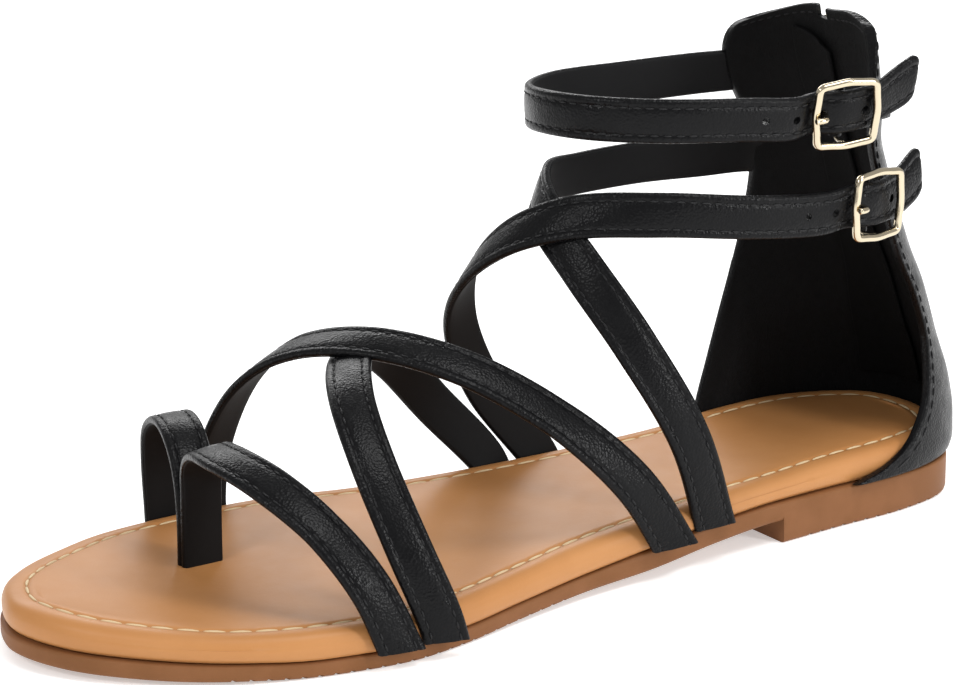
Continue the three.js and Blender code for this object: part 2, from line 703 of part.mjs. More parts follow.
function buckleGeometry() {
  const edge = WIRE * 0.28;
  const outline = softSquare(BUCKLE / 2 - edge, BUCKLE_CORNER.out, BOW);
  outline.holes.push(softSquare(BUCKLE / 2 - WIRE + edge, BUCKLE_CORNER.in, BOW));
  const frame = new THREE.ExtrudeGeometry(outline, {
    depth: WIRE - 2 * edge, bevelThickness: edge, bevelSize: edge, bevelSegments: 1, curveSegments: 5,
  });
  frame.translate(0, 0, -WIRE / 2 + edge);
  const barHalf = BUCKLE / 2 - WIRE / 2;
  const bar = new THREE.CylinderGeometry(BAR_RADIUS, BAR_RADIUS, 2 * barHalf, 12);
  bar.translate(0, 0, BAR_OUT);
  let solid = manifoldOf(frame).add(manifoldOf(bar));
  [-1, 1].forEach((end) => {
    const leg = new THREE.BoxGeometry(2 * BAR_RADIUS, 1.5, -BAR_OUT + BAR_RADIUS);
    leg.translate(0, end * barHalf, (BAR_OUT - BAR_RADIUS) / 2);
    solid = solid.add(manifoldOf(leg));
  });
  return geometryOf(solid);
}

// The prong: an eye round the middle bar, then up through the strap and over the front bar.
const PRONG_RADIUS = 0.75;
const EYE_WALL = 0.9;
const EYE_WIDE = 1.6;
function prongGeometry() {
  const eye = new THREE.Shape().absarc(0, 0, BAR_RADIUS + CLEAR + EYE_WALL, 0, 2 * Math.PI);
  eye.holes.push(new THREE.Path().absarc(0, 0, BAR_RADIUS + CLEAR, 0, 2 * Math.PI));
  const eyeRing = new THREE.ExtrudeGeometry(eye, { depth: EYE_WIDE, bevelEnabled: false, curveSegments: 8 });
  eyeRing.rotateX(Math.PI / 2).translate(0, EYE_WIDE / 2, BAR_OUT);
  const path = new THREE.CatmullRomCurve3([
    [-1.5, -5.6], [-3.3, -5.6], [-4.7, -4.5], [-5.05, -2.6], [-5.35, 0.3], [-6.3, 1.9], [-8.6, 2.15],
  ].map(([back, out]) => new THREE.Vector3(back, 0, out)));
  const section = new THREE.Shape().absarc(0, 0, PRONG_RADIUS, 0, 2 * Math.PI);
  const pin = new THREE.ExtrudeGeometry(section, { steps: 11, extrudePath: path, curveSegments: 4 });
  return geometryOf(manifoldOf(eyeRing).add(manifoldOf(pin)));
}

// The tab that ties a buckle to the counter: a loop round the middle bar and a band sewn on.
const TAB_WIDTH = 9.4;
const TAB_THICK = 1.2;
const LOOP_WALL = 0.8;
function tabSolid(row, strapKeepOut) {
  const frame = buckleFrame(row);
  const loop = new THREE.Shape().absarc(0, 0, BAR_RADIUS + CLEAR + LOOP_WALL, 0, 2 * Math.PI);
  loop.holes.push(new THREE.Path().absarc(0, 0, BAR_RADIUS + CLEAR, 0, 2 * Math.PI));
  const tube = new THREE.ExtrudeGeometry(loop, { depth: TAB_WIDTH, bevelEnabled: false, curveSegments: 8 });
  tube.rotateX(Math.PI / 2).translate(0, TAB_WIDTH / 2, BAR_OUT);
  const slot = new THREE.BoxGeometry(11, EYE_WIDE + 2 * CLEAR, 9).translate(-2.7, 0, BAR_OUT);
  const turnedTube = tube.applyMatrix4(frame.matrix);
  const turnedSlot = slot.applyMatrix4(frame.matrix);
  return manifoldOf(turnedTube)
    .add(strapSolid(TABS[row.level], { width: TAB_WIDTH, thick: TAB_THICK, count: 12 }))
    .subtract(manifoldOf(turnedSlot))
    .subtract(strapKeepOut)
    .subtract(counterKeepOut);
}

const grownStrap = { width: STRAP_WIDTH + 4 * CLEAR, thick: STRAP_THICK + 4 * CLEAR, count: 40 };
BUCKLES.forEach((row) => {
  const frame = buckleFrame(row);
  [['buckle', buckleGeometry()], ['prong', prongGeometry()]].forEach(([kind, geometry]) => {
    const mesh = new THREE.Mesh(geometry, new THREE.MeshStandardMaterial(PALE_GOLD));
    mesh.name = `${row.level}_${kind}`;
    frame.add(mesh);
  });
  group.add(frame);
  const tab = tabSolid(row, strapSolid(BUCKLED[row.level], grownStrap));
  addPiece(`${row.level}_buckle_tab`, geometryOf(mainBody(tab)), LEATHER);
});

// ---------------------------------------------------------------- zip slider and pull tab
// Both are built in the slider's own frame: +Y down the counter's back and +Z out of it. The tab's
// bar turns under the slider's arch.
const SLIDER_UP = 113.5;
const SLIDER = { width: 8, long: 10, from: 0.4, to: 2.2, corner: 2 };
const ARCH = { inner: 1.6, outer: 2.8, half: 0.8, up: 4.1 };
const PULL = { width: 5, thick: 1.2, bar: 0.7, slot: 3.5, slotHalf: 1.4, long: 19, tilt: 6 };

function roundedPlate(width, from, to, corner) {
  const shape = new THREE.Shape();
  shape.moveTo(-width / 2 + corner, from);
  shape.absarc(width / 2 - corner, from + corner, corner, -Math.PI / 2, 0);
  shape.absarc(width / 2 - corner, to - corner, corner, 0, Math.PI / 2);
  shape.absarc(-width / 2 + corner, to - corner, corner, Math.PI / 2, Math.PI);
  shape.absarc(-width / 2 + corner, from + corner, corner, Math.PI, 1.5 * Math.PI);
  return shape;
}

const slope = Math.atan2(counterColumn.back(SLIDER_UP + 5) - counterColumn.back(SLIDER_UP - 5), 10);
const sliderFrame = new THREE.Group();
sliderFrame.position.copy(place(0, counterColumn.back(SLIDER_UP), SLIDER_UP));
sliderFrame.rotation.x = slope - Math.PI / 2;
group.add(sliderFrame);

function sliderGeometry() {
  const outline = roundedPlate(SLIDER.width, -SLIDER.long / 2, SLIDER.long / 2, SLIDER.corner);
  const body = new THREE.ExtrudeGeometry(outline, {
    depth: SLIDER.to - SLIDER.from, bevelEnabled: false, curveSegments: 4,
  });
  body.translate(0, 0, SLIDER.from);
  const side = new THREE.Shape();
  side.moveTo(ARCH.outer, SLIDER.to - ARCH.up - 0.5);
  side.absarc(0, 0, ARCH.outer, 0, Math.PI);
  side.lineTo(-ARCH.outer, SLIDER.to - ARCH.up - 0.5);
  side.lineTo(-ARCH.inner, SLIDER.to - ARCH.up - 0.5);
  side.absarc(0, 0, ARCH.inner, Math.PI, 0, true);
  side.lineTo(ARCH.inner, SLIDER.to - ARCH.up - 0.5);
  const through = { depth: 2 * ARCH.half, bevelEnabled: false, curveSegments: 8 };
  const arch = new THREE.ExtrudeGeometry(side, through);
  arch.translate(0, 0, -ARCH.half).rotateY(Math.PI / 2).rotateX(Math.PI / 2);
  arch.translate(0, 0, ARCH.up);
  return geometryOf(manifoldOf(body).add(manifoldOf(arch)));
}

function pullGeometry() {
  const plate = roundedPlate(PULL.width, -PULL.bar, PULL.long, 0.6);
  plate.holes.push(roundedPlate(2 * PULL.slotHalf, PULL.bar + 0.5, PULL.slot, 0.4));
  const through = { depth: PULL.thick, bevelEnabled: false, curveSegments: 4 };
  const pull = new THREE.ExtrudeGeometry(plate, through);
  return pull.translate(0, 0, -PULL.thick / 2);
}

const slider = new THREE.Mesh(sliderGeometry(), new THREE.MeshStandardMaterial(PALE_GOLD));
slider.name = 'zip_slider';
const pull = new THREE.Mesh(pullGeometry(), new THREE.MeshStandardMaterial(PALE_GOLD));
pull.name = 'zip_pull';
pull.position.z = ARCH.up;
pull.rotation.x = THREE.MathUtils.degToRad(-PULL.tilt);
sliderFrame.add(slider, pull);

export default group;
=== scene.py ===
import math

import bpy
import numpy as np
from mathutils import Matrix, Vector


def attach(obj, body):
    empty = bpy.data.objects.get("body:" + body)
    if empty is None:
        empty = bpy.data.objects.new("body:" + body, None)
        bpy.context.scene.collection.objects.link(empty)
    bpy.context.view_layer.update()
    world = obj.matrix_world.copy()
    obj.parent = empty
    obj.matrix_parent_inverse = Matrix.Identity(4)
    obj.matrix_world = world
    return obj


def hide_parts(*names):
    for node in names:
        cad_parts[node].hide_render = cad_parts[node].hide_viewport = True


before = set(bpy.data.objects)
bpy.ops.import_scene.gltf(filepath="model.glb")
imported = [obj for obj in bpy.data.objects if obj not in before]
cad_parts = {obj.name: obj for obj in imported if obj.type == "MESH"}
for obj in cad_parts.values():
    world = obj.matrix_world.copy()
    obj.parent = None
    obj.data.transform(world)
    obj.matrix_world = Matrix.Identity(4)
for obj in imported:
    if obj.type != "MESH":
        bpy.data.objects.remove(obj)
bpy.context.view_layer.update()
bpy.ops.object.select_all(action="DESELECT")

# ------------------------------------------------------------------ outsole
# Brown blown rubber, moulded in one with its low heel block, and grooved underneath.
# The shoe's sizes are in millimetres: along the foot from the heel's back, across it with the outer
# side positive, and up from the ground. MM brings them into the frame's metres.
MM = 0.001
HEEL_MIDDLE = 32
SOLE_LENGTH = 251
HEEL_BREAST = 64
OUTLINE_STEPS = 8
BOARD_CELLS = 12


def table(names, rows):
    """Columns by name, from rows of numbers."""
    return dict(zip(names.split(), np.array(rows, float).T))


OUTLINE = table("along outer inner", [
    (0, 0.5, 0.5), (3, 13, -12), (10, 21, -18.5), (25, 25.5, -24.5), (45, 27, -25),
    (65, 29, -22.5), (85, 30.5, -23), (105, 32.5, -25.5), (125, 34.5, -30), (145, 38.5, -36.5),
    (162, 42.5, -43), (178, 45, -45.5), (194, 43, -46), (210, 38.5, -44), (224, 31.5, -38),
    (236.5, 21.5, -30), (244.8, 12.5, -21.5), (249.4, 3.5, -12.5), (SOLE_LENGTH, -5, -5),
])
PROFILE = table("along under seam top welt", [
    (0, 5, 9.4, 17.2, 1.7), (35, 5.6, 9.8, 17.0, 0.9), (66, 5.6, 10.4, 16.2, 0.1),
    (85, 4.3, 9.4, 15.6, -0.3), (105, 2.4, 7.6, 14.6, -0.4), (125, 1.6, 5.9, 13.2, -0.6),
    (145, 0.7, 4.8, 11.8, -0.8), (165, 0, 4.0, 11.0, -0.8), (200, 0, 3.8, 10.5, -0.7),
    (215, 0.6, 4.5, 10.7, -0.3), (235, 1.3, 5.4, 11.9, 0.4), (SOLE_LENGTH, 2.2, 6.4, 13.6, 0.4),
])


def column(rows, against, wanted):
    """A smooth column of a table, as a function that never swings past its rows."""
    x, y = rows[against], rows[wanted]
    slope = np.diff(y) / np.diff(x)
    product, total = slope[:-1] * slope[1:], slope[:-1] + slope[1:]
    bends = product > 0
    inner = np.where(bends, 2 * product / np.where(bends, total, 1), 0)
    tangent = np.concatenate([slope[:1], inner, slope[-1:]])

    def value(at):
        at = np.clip(at, x[0], x[-1])
        i = np.clip(np.searchsorted(x, at, side="right") - 1, 0, len(x) - 2)
        width = x[i + 1] - x[i]
        t = (at - x[i]) / width
        straight = y[i] * (1 + 2 * t) * (1 - t) ** 2 + y[i + 1] * t * t * (3 - 2 * t)
        return straight + width * (tangent[i] * t * (1 - t) ** 2 - tangent[i + 1] * t * t * (1 - t))

    return value


def through(points, steps, closed=False):
    """A centripetal curve through the points, with this many steps between each two."""
    points = np.array(points, float)
    before, after = (points[-1:], points[:2]) if closed else (
        2 * points[:1] - points[1:2], 2 * points[-1:] - points[-2:-1])
    line = np.vstack([before, points, after])
    p0, p1, p2, p3 = line[:-3], line[1:-2], line[2:-1], line[3:]
    spans = ((p0, p1), (p1, p2), (p2, p3))
    d0, d1, d2 = (np.linalg.norm(b - a, axis=1)[:, None] ** 0.5 for a, b in spans)
    leave = ((p1 - p0) / d0 - (p2 - p0) / (d0 + d1) + (p2 - p1) / d1) * d1
    arrive = ((p2 - p1) / d1 - (p3 - p1) / (d1 + d2) + (p3 - p2) / d2) * d1
    t = (np.arange(steps) / steps)[None, :, None]
    p1, p2, leave, arrive = (a[:, None, :] for a in (p1, p2, leave, arrive))
    square = -3 * p1 + 3 * p2 - 2 * leave - arrive
    cube = 2 * p1 - 2 * p2 + leave + arrive
    curve = (p1 + leave * t + square * t**2 + cube * t**3).reshape(-1, points.shape[1])
    return curve if closed else np.vstack([curve, points[-1:]])


outer_edge = np.column_stack([OUTLINE["outer"], HEEL_MIDDLE - OUTLINE["along"]])
inner_edge = np.column_stack([OUTLINE["inner"], HEEL_MIDDLE - OUTLINE["along"]])
RING = through(np.vstack([outer_edge, inner_edge[-2:0:-1]]), OUTLINE_STEPS, closed=True)
RING_COUNT = len(RING)
ring_run = np.roll(RING, -1, axis=0) - np.roll(RING, 1, axis=0)
ring_run /= np.linalg.norm(ring_run, axis=1)[:, None]
INWARD = np.column_stack([ring_run[:, 1], -ring_run[:, 0]])
RING_ALONG = HEEL_MIDDLE - RING[:, 1]
under = column(PROFILE, "along", "under")
seam = column(PROFILE, "along", "seam")
top = column(PROFILE, "along", "top")
welt = column(PROFILE, "along", "welt")


def named(name):
    """The piece that an operator has just added, with its name."""
    piece = bpy.context.object
    piece.name = piece.data.name = name
    return piece


def settle(piece):
    """Puts a new piece's place, turn and scale into its mesh."""
    bpy.ops.object.select_all(action="DESELECT")
    piece.select_set(True)
    bpy.context.view_layer.objects.active = piece
    bpy.ops.object.transform_apply(location=True, rotation=True, scale=True)


def flat_sheet(name, long, wide, cells_long, cells_wide):
    """A flat sheet with one corner at the origin: long along X and wide along Y."""
    bpy.ops.mesh.primitive_grid_add(x_subdivisions=cells_long, y_subdivisions=cells_wide, size=1,
                                    location=(long * MM / 2, wide * MM / 2, 0))
    piece = named(name)
    piece.scale = (long * MM, wide * MM, 1)
    settle(piece)
    return piece


def shape(piece, where):
    """Forms a flat piece over its last: where(x, y, z) gives each vertex's new place."""
    flat = np.empty(3 * len(piece.data.vertices))
    piece.data.vertices.foreach_get("co", flat)
    placed = where(*(flat.reshape(-1, 3).T / MM))
    piece.data.vertices.foreach_set("co", np.column_stack(placed).ravel() * MM)
    piece.data.update()


def edit(piece, *steps):
    """Runs edit-mode steps on the whole of a piece."""
    bpy.ops.object.select_all(action="DESELECT")
    piece.select_set(True)
    bpy.context.view_layer.objects.active = piece
    bpy.ops.object.mode_set(mode="EDIT")
    bpy.ops.mesh.select_all(action="SELECT")
    for step in steps:
        step()
    bpy.ops.object.mode_set(mode="OBJECT")


def merge():
    bpy.ops.mesh.remove_doubles(threshold=0.01 * MM)


def face_out():
    bpy.ops.mesh.normals_make_consistent(inside=False)


def join(pieces):
    """Several pieces as one, with the first one's name."""
    bpy.ops.object.select_all(action="DESELECT")
    for piece in pieces:
        piece.select_set(True)
    bpy.context.view_layer.objects.active = pieces[0]
    bpy.ops.object.join()
    return pieces[0]


def apply(piece, kind, **settings):
    """Adds a modifier to a piece and applies it."""
    modifier = piece.modifiers.new(kind.lower(), kind)
    for name, value in settings.items():
        setattr(modifier, name, value)
    bpy.ops.object.select_all(action="DESELECT")
    piece.select_set(True)
    bpy.context.view_layer.objects.active = piece
    bpy.ops.object.modifier_apply(modifier=modifier.name)


def carve(piece, cutter, operation="DIFFERENCE"):
    """Cuts a piece with another, or joins them into one skin, and uses the other up."""
    apply(piece, "BOOLEAN", operation=operation, object=cutter, solver="EXACT")
    bpy.data.objects.remove(cutter)


def smooth(piece, degrees=40):
    bpy.ops.object.select_all(action="DESELECT")
    piece.select_set(True)
    bpy.context.view_layer.objects.active = piece
    bpy.ops.object.shade_smooth_by_angle(angle=math.radians(degrees))


def sole_form(name, edge, lower, upper, stand_out, dish=0.0):
    """A closed form with the sole's outline. Each row of edge is a ring: how far it is drawn in,
    and its height as a share of the way from lower to upper, plus a little more."""
    rings = []
    for inset, share, more in zip(edge["inset"], edge["share"], edge["more"]):
        drawn = RING + INWARD * (inset - stand_out(RING_ALONG))[:, None]
        height = lower(RING_ALONG) * (1 - share) + upper(RING_ALONG) * share + more
        rings.append(np.column_stack([drawn, height]))
    rings = np.array(rings)
    levels = len(rings) - 1

    def wall_place(x, y, z):
        return rings[np.rint(y).astype(int), np.rint(x).astype(int) % RING_COUNT].T

    pieces = [flat_sheet(name, RING_COUNT, levels, RING_COUNT, levels)]
    shape(pieces[0], wall_place)
    half = RING_COUNT // 2
    for level, hollow in ((0, 0.0), (-1, dish)):
        def board_place(x, y, z):
            i, across = np.rint(x).astype(int), y / BOARD_CELLS
            left, right = rings[level, i % RING_COUNT], rings[level, -i % RING_COUNT]
            placed = left + (right - left) * across[:, None]
            placed[:, 2] -= hollow * np.clip(4 * across * (1 - across), 0, 1) ** 1.5
            return placed.T

        pieces.append(flat_sheet(name, half, BOARD_CELLS, half, BOARD_CELLS))
        shape(pieces[-1], board_place)
    piece = join(pieces)
    edit(piece, merge, face_out)
    return piece


OUTSOLE_EDGE = table("inset share more", [
    (8, 0, 0), (1.3, 0, 0), (0.7, 0, 0.12), (0.3, 0, 0.4), (0.05, 0, 0.9), (0, 0, 1.4),
    (0, 1, -0.9), (0.05, 1, -0.5), (0.3, 1, -0.2), (0.8, 1, -0.05), (8, 1, -0.05),
])
HEEL_EDGE = table("inset share more", [
    (8, 0, 0), (1.1, 0, 0), (0.5, 0, 0.15), (0.15, 0, 0.5), (0, 0, 1), (0, 1, -1), (0.5, 1, 0),
    (8, 1, 0),
])
HEEL_HIGH = 8
BREAST_SLOPE = 0.03
outsole = sole_form("outsole_rubber", OUTSOLE_EDGE, under, seam, welt)
heel = sole_form("heel_block", HEEL_EDGE, lambda s: 0 * s, lambda s: 0 * s + HEEL_HIGH, welt)


def cut_breast():
    bpy.ops.mesh.bisect(plane_co=(0, (HEEL_MIDDLE - HEEL_BREAST) * MM, 0),
                        plane_no=(0, 1, BREAST_SLOPE), clear_inner=True, use_fill=True)


edit(heel, cut_breast, face_out)
carve(outsole, heel, "UNION")
TREAD_PITCH = 3.6
TREAD_GROOVE = (130, 1.1, 1.3)      # across the shoe, along it and up
TREAD = table("first count", [(12, 13), (132, 25)])
for first, count in zip(TREAD["first"], TREAD["count"].astype(int)):
    bpy.ops.mesh.primitive_cube_add(size=1, location=(0, (HEEL_MIDDLE - first) * MM, 0))
    groove = named("tread")
    groove.scale = [side * MM for side in TREAD_GROOVE]
    settle(groove)
    apply(groove, "ARRAY", count=count, use_relative_offset=False, use_constant_offset=True,
          constant_offset_displace=(0, -TREAD_PITCH * MM, 0))
    lift = under if first > HEEL_BREAST else (lambda s: 0 * s)
    shape(groove, lambda x, y, z: (x, y, z + lift(HEEL_MIDDLE - y)))
    carve(outsole, groove)
smooth(outsole)


def finish(name, colour, roughness, metallic=0.0, specular=0.5):
    """A material with its shader's own colour and gloss set."""
    material = bpy.data.materials.new(name)
    material.use_nodes = True
    shader = material.node_tree.nodes["Principled BSDF"]
    shader.inputs["Base Color"].default_value = (*colour, 1)
    shader.inputs["Roughness"].default_value = roughness
    shader.inputs["Metallic"].default_value = metallic
    shader.inputs["Specular IOR Level"].default_value = specular
    return material


def pattern(material, kind, size, output=0, coordinates="Object", stretch=(1, 1, 1), **settings):
    """A pattern whose cells are size across, or stretched along X, Y or Z by that many times."""
    nodes, links = material.node_tree.nodes, material.node_tree.links
    place = nodes.new("ShaderNodeTexCoord")
    scale = nodes.new("ShaderNodeMapping")
    texture = nodes.new(kind)
    scale.inputs["Scale"].default_value = [1 / s for s in stretch]
    texture.inputs["Scale"].default_value = 1 / (size * MM)
    for name, value in settings.items():
        texture.inputs[name].default_value = value
    links.new(place.outputs[coordinates], scale.inputs["Vector"])
    links.new(scale.outputs["Vector"], texture.inputs["Vector"])
    return texture.outputs[output]


def spread(material, value, low, high, start=0.0, end=1.0):
    """Maps a pattern's value from start..end to low..high."""
    node = material.node_tree.nodes.new("ShaderNodeMapRange")
    for name, number in (("From Min", start), ("From Max", end), ("To Min", low), ("To Max", high)):
        node.inputs[name].default_value = number
    material.node_tree.links.new(value, node.inputs["Value"])
    return node.outputs["Result"]


def tint(material, value, first, second):
    """Colours a material between two colours by a pattern's value."""
    nodes, links = material.node_tree.nodes, material.node_tree.links
    ramp = nodes.new("ShaderNodeValToRGB")
    ramp.color_ramp.elements[0].color = (*first, 1)
    ramp.color_ramp.elements[1].color = (*second, 1)
    links.new(value, ramp.inputs["Fac"])
    links.new(ramp.outputs["Color"], nodes["Principled BSDF"].inputs["Base Color"])


def drive(material, value, socket):
    """Lets a value set one of the shader's sockets."""
    material.node_tree.links.new(value, material.node_tree.nodes["Principled BSDF"].inputs[socket])


def relief(material, value, depth):
    """Adds a pattern to the surface's relief, depth high from its lowest to its highest."""
    nodes, links = material.node_tree.nodes, material.node_tree.links
    shader, bump = nodes["Principled BSDF"], nodes.new("ShaderNodeBump")
    bump.inputs["Distance"].default_value = depth * MM
    if shader.inputs["Normal"].is_linked:
        links.new(shader.inputs["Normal"].links[0].from_socket, bump.inputs["Normal"])
    links.new(value, bump.inputs["Height"])
    links.new(bump.outputs["Normal"], shader.inputs["Normal"])


RUBBER_BROWN = (0.205, 0.087, 0.034)
rubber = finish("brown_rubber", RUBBER_BROWN, 0.5, specular=0.12)
mottle = pattern(rubber, "ShaderNodeTexNoise", 9, Detail=4)
tint(rubber, spread(rubber, mottle, 0, 1, 0.35, 0.65), (0.19, 0.08, 0.030), (0.22, 0.095, 0.039))
drive(rubber, spread(rubber, mottle, 0.42, 0.58), "Roughness")
relief(rubber, pattern(rubber, "ShaderNodeTexNoise", 0.35, Detail=3), 0.02)
relief(rubber, pattern(rubber, "ShaderNodeTexNoise", 1, stretch=(30, 30, 0.35), Detail=2), 0.03)


def clothe(piece, slot, *materials):
    """Gives a finished piece its materials, if it hasn't any, and its body."""
    for material in materials:
        piece.data.materials.append(material)
    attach(piece, "root")


clothe(outsole, "sole_rubber", rubber)
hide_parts("outsole")

# ------------------------------------------------------------------ footbed
# A foam board wrapped in smooth tan leather that rolls over its edge down to the outsole. A cream
# thread lies in a pressed groove, 5.6 mm in from the edge.
STITCH_INSET = 5.6
FOOTBED_EDGE = table("inset share more", [
    (8, 0, 0.1), (1.9, 0, 0.1), (1.1, 0, 0.35), (0.5, 0, 1.0), (0.15, 0.22, 0), (0, 0.42, 0),
    (0.02, 0.58, 0), (0.12, 1, -2.6), (0.4, 1, -1.75), (0.85, 1, -1.05), (1.5, 1, -0.5),
    (2.3, 1, -0.16), (3.2, 1, 0), (4.2, 1, 0), (4.8, 1, -0.06), (5.2, 1, -0.3),
    (STITCH_INSET, 1, -0.5), (6.0, 1, -0.3), (6.4, 1, -0.06), (7.2, 1, 0),
])
footbed = sole_form("footbed_wrap", FOOTBED_EDGE, seam, top, lambda s: 0 * s, dish=0.5)
smooth(footbed, 60)
TAN = (0.46, 0.208, 0.07)
tan = finish("tan_wrap", TAN, 0.42, specular=0.25)
cloud = pattern(tan, "ShaderNodeTexNoise", 35, Detail=5, Roughness=0.6)
tint(tan, spread(tan, cloud, 0, 1, 0.35, 0.65), (0.44, 0.195, 0.064), (0.48, 0.221, 0.077))
drive(tan, spread(tan, pattern(tan, "ShaderNodeTexNoise", 5, Detail=4), 0.36, 0.5), "Roughness")
relief(tan, pattern(tan, "ShaderNodeTexVoronoi", 0.55, Randomness=1.0), 0.012)
relief(tan, pattern(tan, "ShaderNodeTexNoise", 2.4, Detail=4), 0.03)
clothe(footbed, "footbed_wrap", tan)
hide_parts("footbed")

THREAD_ROUND = (10, 6)
THREAD_SUNK = 0.32
FOOTBED_STITCH = {"pitch": 5.6, "size": (5.1, 0.75, 0.65)}


def stitch_row(name, start, end, across, out, pitch, size):
    """A row of stitches on a flat piece, each one size = (long, wide, high)."""
    count = max(int((end - start) / pitch), 1)
    first = ((start + pitch / 2) * MM, across * MM, out * MM)
    bpy.ops.mesh.primitive_uv_sphere_add(segments=THREAD_ROUND[0], ring_count=THREAD_ROUND[1],
                                         radius=0.5, location=first)
    row = named(name)
    row.scale = [side * MM for side in size]
    settle(row)
    apply(row, "ARRAY", count=count, use_relative_offset=False, use_constant_offset=True,
          constant_offset_displace=((end - start) / count * MM, 0, 0))
    return row


def frames_of(at, face):
    """Where a strip lies: its line, which way it runs, faces and widens, and the length so far."""
    run = np.gradient(at, axis=0)
    run /= np.linalg.norm(run, axis=1)[:, None]
    face = face - run * np.sum(face * run, axis=1)[:, None]
    face /= np.linalg.norm(face, axis=1)[:, None]
    length = np.concatenate([[0], np.cumsum(np.linalg.norm(np.diff(at, axis=0), axis=1))])
    return {"at": at, "run": run, "face": face, "side": np.cross(face, run), "length": length}


def lay(piece, frames, lift=0.0):
    """Lays a flat piece along frames: X goes along them, Y across and Z out."""
    def where(x, y, z):
        along = np.clip(x, 0, frames["length"][-1])

        def interpolated(key):
            return np.column_stack(
                [np.interp(along, frames["length"], frames[key][:, i]) for i in range(3)])

        at, run, face, side = (interpolated(key) for key in ("at", "run", "face", "side"))
        return (at + run * (x - along)[:, None] + side * y[:, None] + face * (z + lift)[:, None]).T

    shape(piece, where)


stitch_line = RING + INWARD * STITCH_INSET
stitch_line = np.column_stack([stitch_line, top(RING_ALONG) - THREAD_SUNK])
stitch_line = np.vstack([stitch_line, stitch_line[:1]])
stitch_frames = frames_of(stitch_line, np.tile([0.0, 0.0, 1.0], (len(stitch_line), 1)))
footbed_thread = stitch_row("footbed_thread", 0, stitch_frames["length"][-1], 0, 0,
                            **FOOTBED_STITCH)
lay(footbed_thread, stitch_frames)
smooth(footbed_thread, 80)
cream = finish("cream_thread", (0.80, 0.63, 0.38), 0.6)
relief(cream, pattern(cream, "ShaderNodeTexWave", 0.35), 0.05)
clothe(footbed_thread, "footbed_wrap", cream)

# ------------------------------------------------------------------ toe straps
# Black leather folded over a thin filler, lined in matte black and stitched near both edges. The
# ring holds the big toe, and the toe strap folds down beside it into the post.
STRAP_WIDTH = 10.4
STRAP_THICK = 2.2
# Half of the strap's section, from the middle of its leather face round to its lining.
STRAP_SECTION = table("across out", [
    (0, 1.24), (1.3, 1.22), (2.4, 1.14), (2.9, 1.0), (3.2, 0.84), (3.5, 0.98), (3.9, 1.08),
    (4.4, 1.06), (4.85, 0.86), (5.12, 0.5), (5.2, 0.1), (5.16, -0.35), (4.98, -0.62),
    (4.86, -0.68), (4.84, -0.82), (4.66, -1.04), (4.3, -1.1), (2.5, -1.1), (0, -1.1),
])
LINING_FROM = -0.65
STITCH_ACROSS = 3.2
STRAP_STITCH = {"pitch": 2.9, "size": (2.0, 0.5, 0.42)}
STITCH_OUT = 0.97
STRAP_STEP = 1.0
ROUTE_STEPS = 40
FOOT_LINE_UP = 12
LEG_LINE_ALONG = 74
BIG_TOE = (-30.5, 20)
TIP_ROUND = 2.6
TIP_BEYOND = 3.2      # how far the loose end goes past its route
TIP_SLANT = 5.6       # how far its cut slants from one edge to the other
TIP_CROWDED = 8       # the stretch whose rings crowd towards the tip
TIP_EDGE = 0.9        # the last stretch, where the leather thins
TIP_STITCH_BEYOND = 1.6
TRIM_UP = 0.35        # how far above the seam a foot is cut off
TRIM_REACH = 20       # how far round a foot the cut is made
HOLE_RADIUS = 0.95

TOE_RING = table("across along up turn", [
    (-46.9, 189, 2, 0), (-47.1, 189.3, 12, 0), (-46.6, 190, 24, 0), (-42.5, 191.7, 33.5, 0),
    (-34.5, 193.8, 38, 0), (-25, 196.4, 37.8, 0), (-17.6, 198.3, 32.5, 0), (-14.6, 199, 24, 0),
    (-14.4, 199, 2, 0),
])
TOE_STRAP = table("across along up turn", [
    (46.5, 182.4, 2, -5), (42.5, 189, 19, -10), (34, 195.5, 31, -10), (21, 201, 38.5, 5),
    (6, 203.5, 41, 10), (-5, 201.5, 39, 5), (-11, 199.5, 33, 0), (-12.4, 199, 24, 0),
    (-12.4, 199, 2, 0),
])


def away_from_foot(at):
    """Straps face away from a line inside the foot and a line up the leg, the nearer one more."""
    foot = at * (1, 0, 1) - (0, 0, FOOT_LINE_UP)
    leg = at * (1, 1, 0) - (0, HEEL_MIDDLE - LEG_LINE_ALONG, 0)
    leg[:, 2] = np.minimum(at[:, 2] - FOOT_LINE_UP, 0)
    return sum(line / np.linalg.norm(line, axis=1)[:, None] ** 3 for line in (foot, leg))


def away_from_toe(at):
    return at * (1, 0, 1) - (BIG_TOE[0], 0, BIG_TOE[1])


def route_frames(route, away=away_from_foot):
    """The frames along a strap's route, its face turned at each point by the route's own turn."""
    points = np.column_stack([route["across"], HEEL_MIDDLE - route["along"], route["up"]])
    at = through(points, ROUTE_STEPS)
    frames = frames_of(at, away(at))
    turn = np.interp(np.arange(len(at)) / ROUTE_STEPS, np.arange(len(points)),
                     np.radians(-route["turn"]))[:, None]
    crosswise = np.cross(frames["run"], frames["face"])
    frames["face"] = frames["face"] * np.cos(turn) + crosswise * np.sin(turn)
    frames["side"] = np.cross(frames["face"], frames["run"])
    return frames


